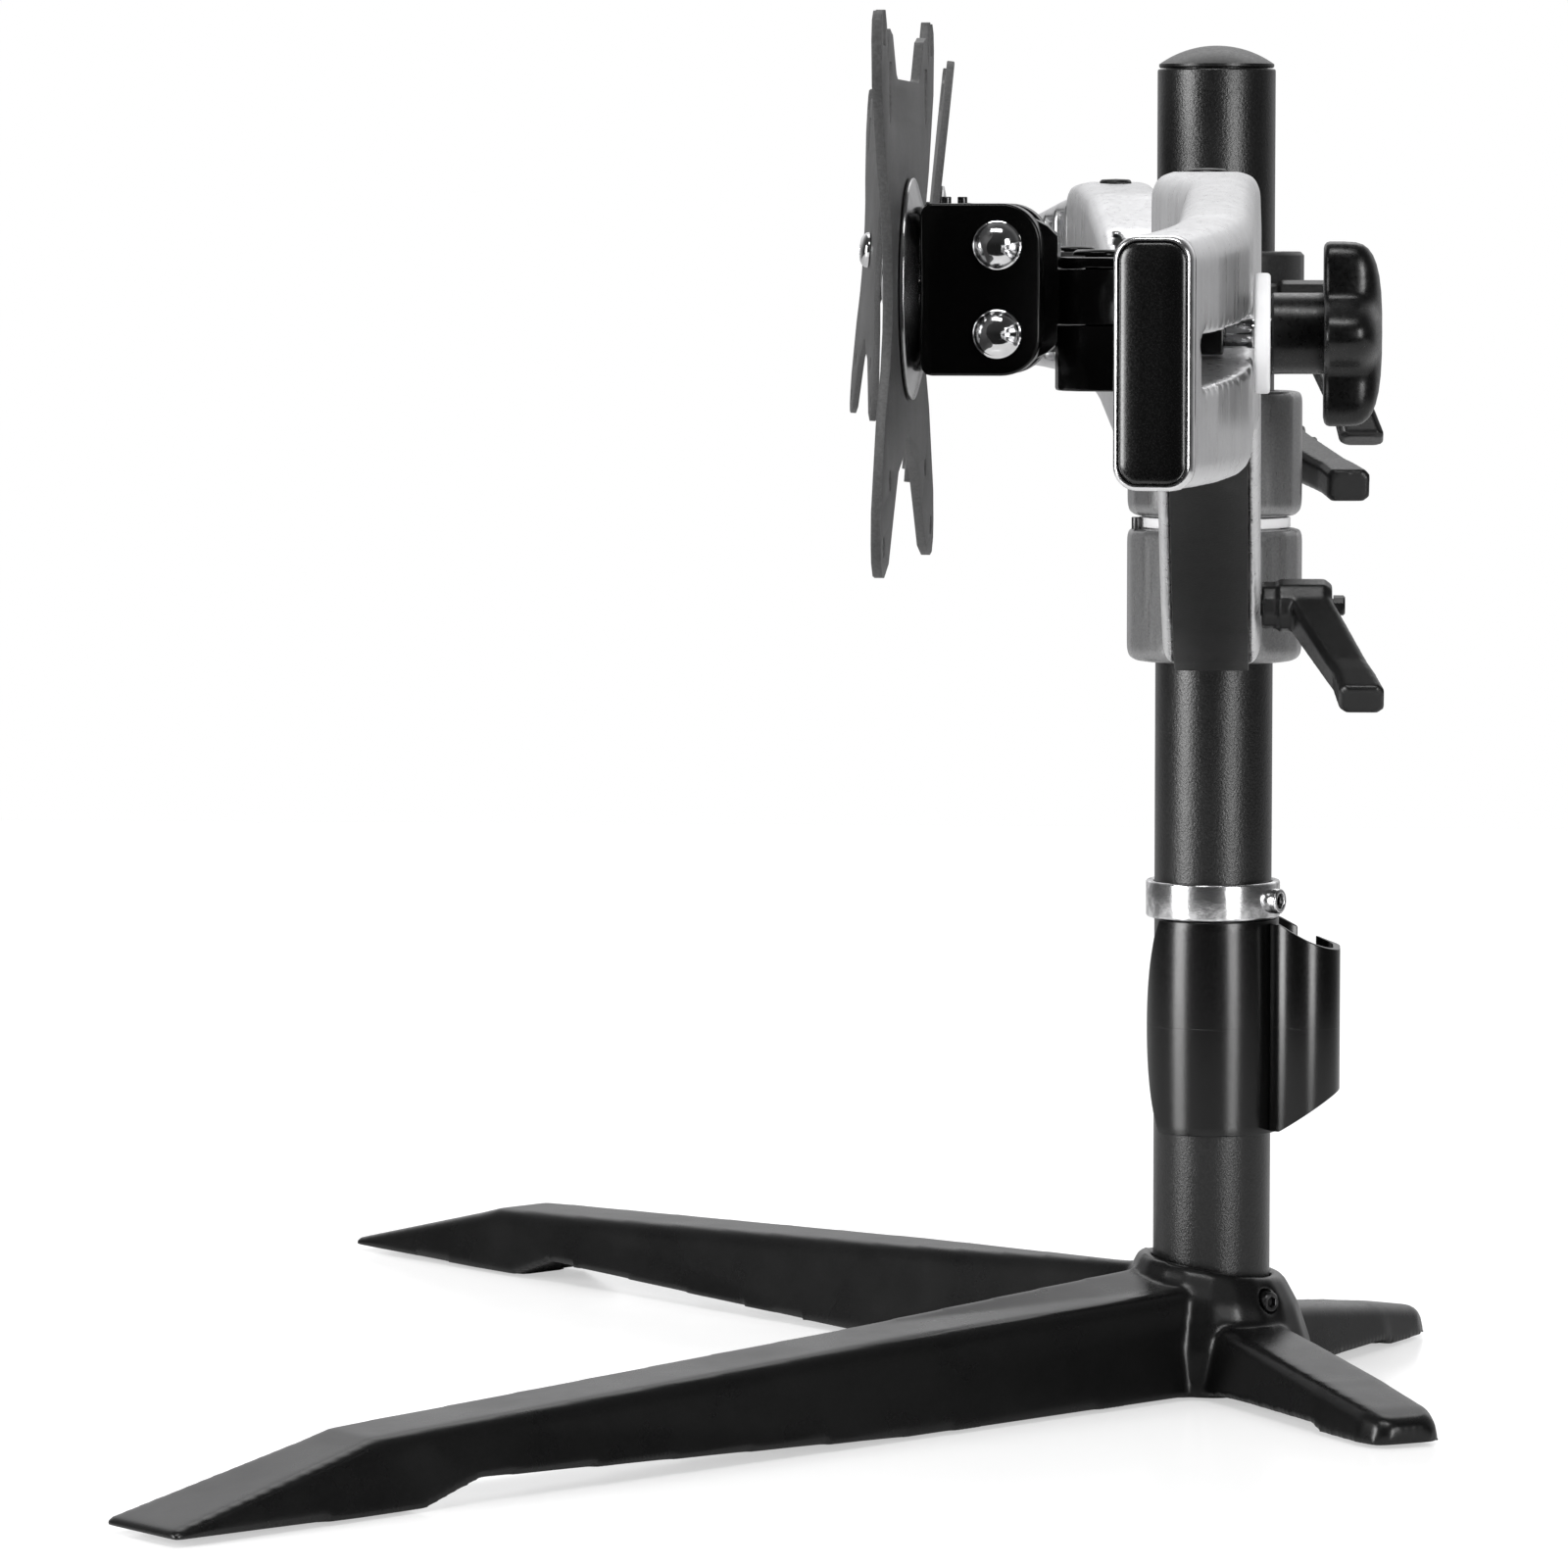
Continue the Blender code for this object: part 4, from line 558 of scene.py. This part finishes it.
def build_clip():
    """A split sleeve that swells at half height, and behind it a cup with a slit on its far side."""
    inner, outer, rows, columns = 16.2, 17.9, 24, 88
    bm = bmesh.new()
    skins = []
    for i in range(rows + 1):
        share = 2 * i / rows - 1
        z = CLIP_PARTING + (CLIP_HIGH - CLIP_LOW) / 2 * share
        reach = outer + 0.5 * math.cos(share * math.pi / 2)
        start = math.asin((4.5 + 6.0 * share ** 2) / reach)
        skin = []
        for radius in (reach, inner):
            ring = []
            for k in range(columns + 1):
                angle = start + (2 * math.pi - 2 * start) * k / columns
                x = radius * math.sin(angle) * MM
                y = -radius * math.cos(angle) * MM
                ring.append(bm.verts.new((x, y, z * MM)))
            skin.append(ring)
        skins.append(skin)
    for one, two in zip(skins, skins[1:]):
        for side in (0, 1):
            for k in range(columns):
                bm.faces.new((one[side][k], one[side][k + 1], two[side][k + 1], two[side][k]))
        for k in (0, columns):
            bm.faces.new((one[0][k], two[0][k], two[1][k], one[1][k]))
    for skin in (skins[0], skins[-1]):
        for k in range(columns):
            bm.faces.new((skin[0][k], skin[0][k + 1], skin[1][k + 1], skin[1][k]))

    def station(degrees, sign):
        angle = math.radians(degrees)
        return [(sign * (4.6 + r * math.cos(angle)), 24.4 + r * math.sin(angle)) for r in (10.2, 8.2)]

    near_side = [station(-68 + 158 * k / 32, 1) for k in range(33)]
    past_middle = [station(90 - 64 * k / 14, -1) for k in range(15)]
    far_side = [station(-68 + 59 * k / 12, -1) for k in range(13)]
    clip_wall(bm, near_side + past_middle)
    clip_wall(bm, far_side)
    stand_in("cable_clip", bm, Matrix(), 0.25)


def socket_screw(radius, low, high, flat):
    """A headless screw with a hexagon socket in its outer end."""
    profile = [(0, low), (radius, low), (radius, high - 0.4), (radius - 0.35, high), (flat * 1.2, high),
               (flat, high - 0.15), (flat, high - 1.6), (0, high - 1.9)]
    return lathe(profile, 48, hexed=(4, 5, 6))


def build_base_screw():
    height = 25.4
    at_screw = turn(BASE_SCREW_HEADING, "Z") @ place(0, 0, height * MM) @ TO_X
    finish("base_screw", socket_screw(2.75, 17.0, 23.5, 1.4), at_screw, "stand", STEEL)


def build_stop_pin():
    pin = rounded([(0, 234.2), (1.35, 234.2), (1.35, 237.5), (0, 237.5)], 0.2)
    at_gap = place(0.0065, -0.021, 0)
    finish("collar_stop_pin", lathe(pin, 24), at_gap, BODY_OF["right_arm"], STEEL)


def build_knob(side):
    """A star knob with a flat front, soft lobes and a domed back, on its round hub."""
    lobes, around = 6, 96
    radius, hollow, start, depth = 20.8, 5.2, 10.4, 11.8
    layers = (
        (0.0, 0.0), (0.0, 0.62), (0.0, 0.93), (0.015, 0.965), (0.05, 0.99), (0.1, 1.0), (0.35, 1.0),
        (0.55, 0.992), (0.66, 0.97), (0.75, 0.925), (0.83, 0.855), (0.89, 0.76), (0.94, 0.63), (0.975, 0.46),
        (0.995, 0.24), (1.0, 0.0),
    )
    bm = bmesh.new()
    rows = []
    for share, scale in layers:
        if scale == 0.0:
            rows.append([bm.verts.new((0, (start + depth * share) * MM, 0))])
            continue
        row = []
        for k in range(around):
            angle = 2 * math.pi * k / around
            reach = (radius - hollow * (1 - math.cos(lobes * angle)) / 2) * scale
            row.append(bm.verts.new((reach * math.cos(angle) * MM, (start + depth * share) * MM,
                                     reach * math.sin(angle) * MM)))
        rows.append(row)
    skin_rows(bm, rows, around)
    hub_top = start + 0.6
    hub_ring = rounded([(3.3, 0.0), (8.2, 0.0), (8.2, hub_top), (3.3, hub_top)], 0.4, 3, True)
    hub_bm = lathe(hub_ring, 64, True)
    hub = bpy.data.meshes.new("hub")
    bmesh.ops.transform(hub_bm, matrix=TO_Y, verts=hub_bm.verts)
    hub_bm.to_mesh(hub)
    hub_bm.free()
    bm.from_mesh(hub)
    stand_in(side + "_knob", bm, SLIDE[side] @ place(0, KNOB_SEAT, 0))


def build_washer(side):
    """The nylon washer between an arm's rear face and the knob."""
    at_bolt = SLIDE[side] @ TO_Y
    inner, outer, near, far = 3.3, 12.2, 11.7, 14.9
    washer = rounded([(inner, far), (outer, far), (outer, near), (inner, near)], 0.9, 4, True)
    stand_in(side + "_washer", lathe(washer, 64, True), at_bolt)


def box_outline(half, low, high, radius):
    """A rectangle with round corners, from (across, up) points."""
    return (
        arc((half - radius, low + radius), radius, -90, 0, 8)
        + arc((half - radius, high - radius), radius, 0, 90, 8)
        + arc((-half + radius, high - radius), radius, 90, 180, 8)
        + arc((-half + radius, low + radius), radius, 180, 270, 8)
    )


def end_shape(side, steps, ring):
    """A shape about the end of an arm's bar, from (inset, distance outwards) steps."""
    sign = -1 if side == "left" else 1
    sine, cosine = math.sin(END_TURN), math.cos(END_TURN)
    bm = bmesh.new()
    rows = []
    for inset, out in steps:
        row = []
        rounding = max(END_ROUNDING - inset * 0.6, 1.2)
        for across, z in box_outline(END_HALF_WIDTH - inset, END_LOW + inset, END_HIGH - inset, rounding):
            x = END_X + sine * across + cosine * out
            y = END_Y + cosine * across - sine * out
            row.append(bm.verts.new(SWING[side] @ Vector((sign * x * MM, y * MM, z * MM))))
        rows.append(row)
    skin_rows(bm, rows, len(rows[0]), ring)
    if not ring:
        bm.faces.new(rows[0])
        bm.faces.new(rows[-1])
    return bm


def build_arm_end(side):
    """The bright rounded rim at the end of the arm, and the gloss cap inside it."""
    steps = [(0.3, -3.2), (-0.06, -2.6)]
    for k in range(9):
        angle = math.pi / 2 * k / 8
        steps.append((0.94 - 1.0 * math.cos(angle), -1.5 + 1.9 * math.sin(angle)))
    steps += [(1.06, 0.2), (1.1, -0.2), (1.1, -2.4)]
    rim = end_shape(side, steps, True)
    finish(side + "_arm_end_rim", rim, Matrix(), BODY_OF[side + "_arm"], RIM)
    crown = [(1.7, -3.9), (1.7, -0.6), (1.15, -0.4)]
    for k in range(9):
        angle = math.pi / 2 * k / 8
        crown.append((1.2 + 4.6 * (1 - math.cos(angle)), -0.2 + 1.2 * math.sin(angle)))
    stand_in(side + "_arm_end_cap", end_shape(side, crown, False), Matrix())


def build_tilt_bolt(side, where, height):
    """A smooth domed head on one side, a hexagon nut on the other."""
    seat, rim, dome = 13.8, 4.9, 3.3
    profile = [(0, -17.4), (2.2, -17.4), (2.5, -17.1), (2.5, seat), (rim - 0.15, seat), (rim, seat + 0.15),
               (rim, seat + 0.5), (rim - 0.25, seat + 0.65)]
    radius = ((rim - 0.25) ** 2 + (dome - 0.65) ** 2) / (2 * (dome - 0.65))
    widest = math.asin((rim - 0.25) / radius)
    steps = 12
    for k in range(1, steps):
        angle = widest * (1 - k / steps)
        profile.append((radius * math.sin(angle), seat + dome - radius + radius * math.cos(angle)))
    profile.append((0, seat + dome))
    matrix = TILT[side] @ place(0, 0, height * MM) @ TO_X
    stand_in("%s_%s_tilt_bolt" % (side, where), lathe(profile, 48), matrix)
    nut = [(2.5, -16.6), (3.6, -16.6), (3.9, -16.3), (3.9, -14.1), (3.6, -13.8), (2.5, -13.8)]
    finish("%s_%s_tilt_nut" % (side, where), lathe(nut, 48, True, (2, 3)), matrix, BODY_OF[side + "_clevis"],
           CHROME)


def build_clevis(side):
    """Two rounded cheeks and the web between them, with two small screws on top."""
    half, rear, front, big, small = 17.3, 8.7, 15.6, 8.0, 2.5
    outline = (
        arc((rear - big, -half + big), big, -90, 0, 12) + arc((rear - big, half - big), big, 0, 90, 12)
        + arc((-front + small, half - small), small, 90, 180, 6)
        + arc((-front + small, -half + small), small, 180, 270, 6)
    )
    bm = prism(outline, 4.7, 13.5)
    scratch = bpy.data.meshes.new("cheek")
    extra = prism(outline, -13.5, -4.7)
    web = prism([(-front, -half), (-front + 3.2, -half), (-front + 3.2, half), (-front, half)], -5.2, 5.2)
    for other in (extra, web):
        other.to_mesh(scratch)
        other.free()
        bm.from_mesh(scratch)
    stand_in(side + "_clevis", bm, TILT[side] @ TO_X, 0.7)
    for i, (x, y) in enumerate(((6.6, -10.9), (-5.4, -8.7))):
        profile = [
            (0, half - 1.5), (1.0, half - 1.5), (1.0, half + 1.35),
            (0.55, half + 1.35), (0.55, half + 0.8), (0, half + 0.8),
        ]
        head = rounded(profile, 0.2)
        finish("%s_clevis_screw_%d" % (side, i), lathe(head, 24), TILT[side] @ place(x * MM, y * MM, 0),
               BODY_OF[side + "_clevis"], STEEL)


def build_plate_parts(side):
    """The flange behind the plate and the screw in its middle."""
    back, plate_front = -15.9, -21.2
    front = back - 3.0
    ring = [(3.3, front), (22.5, front), (22.5, front + 0.9), (15.0, back), (3.3, back)]
    cone = rounded(ring, 0.3, 3, True)
    stand_in(side + "_flange", lathe(cone, 96, True), TILT[side] @ TO_Y)
    head = plate_front - 0.3
    screw = [
        (0, -12.8), (3.0, -12.8), (3.0, head), (5.9, head), (6.0, head - 0.2), (5.8, head - 1.2),
        (5.0, head - 2.1), (3.8, head - 2.75), (2.4, head - 3.0), (2.3, head - 2.9), (2.2, head - 1.2),
        (0, head - 1.0),
    ]
    stand_in(side + "_centre_screw", lathe(screw, 48, hexed=(9, 10)), TILT[side] @ TO_Y)


def build_pan_pin(side):
    pin = rounded([(0, -20.2), (3.0, -20.2), (3.0, 6.8), (5.6, 6.8), (5.4, 7.5), (4.6, 8.0), (0, 8.0)], 0.2)
    stand_in(side + "_pan_pin", lathe(pin, 48), PAN[side])


build_pole()
build_stop_collar()
build_clip()
build_base_screw()
build_stop_pin()
for side in ("right", "left"):
    build_knob(side)
    build_washer(side)
    build_arm_end(side)
for side in SIDES:
    build_tilt_bolt(side, "upper", BOLT_SPREAD)
    build_tilt_bolt(side, "lower", -BOLT_SPREAD)
    build_clevis(side)
    build_plate_parts(side)
    build_pan_pin(side)


# Floor, light and camera

def build_world():
    """White to the camera. Metal sees it white behind the stand, and dim on the camera's side."""
    world = bpy.data.worlds.new("studio")
    bpy.context.scene.world = world
    world.use_nodes = True
    tree = world.node_tree
    tree.nodes.clear()
    link = tree.links.new
    output = tree.nodes.new("ShaderNodeOutputWorld")
    path = tree.nodes.new("ShaderNodeLightPath")
    top = tree.nodes.new("ShaderNodeMath")
    top.operation = "MAXIMUM"
    link(path.outputs["Is Camera Ray"], top.inputs[0])
    link(path.outputs["Is Transmission Ray"], top.inputs[1])
    place_node = tree.nodes.new("ShaderNodeTexCoord")
    split = tree.nodes.new("ShaderNodeSeparateXYZ")
    link(place_node.outputs["Generated"], split.inputs[0])
    ramp = tree.nodes.new("ShaderNodeValToRGB")
    share = tree.nodes.new("ShaderNodeMapRange")
    share.inputs["From Min"].default_value = 1.0
    share.inputs["From Max"].default_value = -1.0
    link(split.outputs["X"], share.inputs["Value"])
    link(share.outputs["Result"], ramp.inputs["Fac"])
    stops = ((0.0, 0.03), (0.45, 0.06), (0.62, 0.16), (0.78, 0.4), (0.9, 1.0))
    elements = ramp.color_ramp.elements
    elements[0].position, elements[0].color = stops[0][0], (*grey(stops[0][1]), 1)
    elements[1].position, elements[1].color = stops[-1][0], (*grey(stops[-1][1]), 1)
    for spot, value in stops[1:-1]:
        element = elements.new(spot)
        element.color = (*grey(value), 1)
    backgrounds = []
    for strength in (WORLD_LEVEL, 1.0, 1.0):
        background = tree.nodes.new("ShaderNodeBackground")
        background.inputs["Color"].default_value = (1, 1, 1, 1)
        background.inputs["Strength"].default_value = strength
        backgrounds.append(background)
    light, mirror, seen = backgrounds
    link(ramp.outputs["Color"], mirror.inputs["Color"])
    low = tree.nodes.new("ShaderNodeMapRange")
    low.interpolation_type = "SMOOTHSTEP"
    low.inputs["From Min"].default_value = -0.05
    low.inputs["From Max"].default_value = 0.4
    low.inputs["To Min"].default_value = 0.45
    low.inputs["To Max"].default_value = 1.0
    link(split.outputs["Z"], low.inputs["Value"])
    link(low.outputs["Result"], mirror.inputs["Strength"])
    glossy = tree.nodes.new("ShaderNodeMixShader")
    link(path.outputs["Is Glossy Ray"], glossy.inputs[0])
    link(light.outputs[0], glossy.inputs[1])
    link(mirror.outputs[0], glossy.inputs[2])
    final = tree.nodes.new("ShaderNodeMixShader")
    link(top.outputs[0], final.inputs[0])
    link(glossy.outputs[0], final.inputs[1])
    link(seen.outputs[0], final.inputs[2])
    link(final.outputs[0], output.inputs["Surface"])


def build_floor():
    """A glossy white table top, drawn white to the camera where no shadow falls on it."""
    mesh = bpy.data.meshes.new("floor")
    mesh.from_pydata([(-1.8, -1.1, 0), (0.8, -1.1, 0), (0.8, 1.0, 0), (-1.8, 1.0, 0)], [], [(0, 1, 2, 3)])
    floor = bpy.data.objects.new("floor", mesh)
    bpy.context.scene.collection.objects.link(floor)
    n = Nodes("floor_white")
    speck = n.noise(45.0, 3.0, 0.6)
    n.set(Base_Color=(0.8, 0.8, 0.8, 1), Roughness=n.ramp(speck, 0.15, 0.17), Specular_IOR_Level=0.4)
    path = n.add("ShaderNodeLightPath")
    glow = n.add("ShaderNodeMath", operation="MULTIPLY")
    n.link(path.outputs["Is Camera Ray"], glow.inputs[0])
    glow.inputs[1].default_value = FLOOR_GLOW
    n.set(Emission_Color=(1, 1, 1, 1))
    n.link(glow.outputs[0], n.shader.inputs["Emission Strength"])
    mesh.materials.append(n.material)


def softbox(name, azimuth, distance, height, size, power):
    """A rectangular lamp that faces the stand from an azimuth about the pole."""
    light = bpy.data.lights.new(name, "AREA")
    light.shape = "RECTANGLE"
    light.size, light.size_y = size
    light.energy = power
    item = bpy.data.objects.new(name, light)
    bpy.context.scene.collection.objects.link(item)
    angle = math.radians(azimuth)
    item.location = (distance * math.cos(angle), distance * math.sin(angle), height)
    item.rotation_euler = (Vector((0, 0, LAMP_AIM)) - item.location).to_track_quat("-Z", "Y").to_euler()


def build_camera():
    data = bpy.data.cameras.new("camera")
    data.sensor_width = 36.0
    data.lens = FOCAL_PIXELS / PIXELS * data.sensor_width
    data.clip_start = 0.05
    data.clip_end = 20.0
    camera = bpy.data.objects.new("camera", data)
    bpy.context.scene.collection.objects.link(camera)
    camera.location = CAMERA_PLACE
    way = Vector((
        -math.cos(CAMERA_YAW) * math.cos(CAMERA_PITCH), math.sin(CAMERA_YAW) * math.cos(CAMERA_PITCH),
        -math.sin(CAMERA_PITCH)))
    camera.rotation_euler = way.to_track_quat("-Z", "Y").to_euler()
    bpy.context.scene.camera = camera


build_world()
build_floor()
softbox("front_strip", -58, 2.3, 0.6, (0.85, 1.5), 46)
softbox("camera_strip", 36, 2.7, 0.6, (0.75, 1.5), 36)
softbox("front_top", -10, 1.1, 1.9, (1.2, 0.4), 14)
softbox("back_top", 180, 0.9, 1.6, (1.3, 1.0), 6)
build_camera()
bpy.context.scene.view_settings.view_transform = "Standard"

bpy.context.view_layer.update()
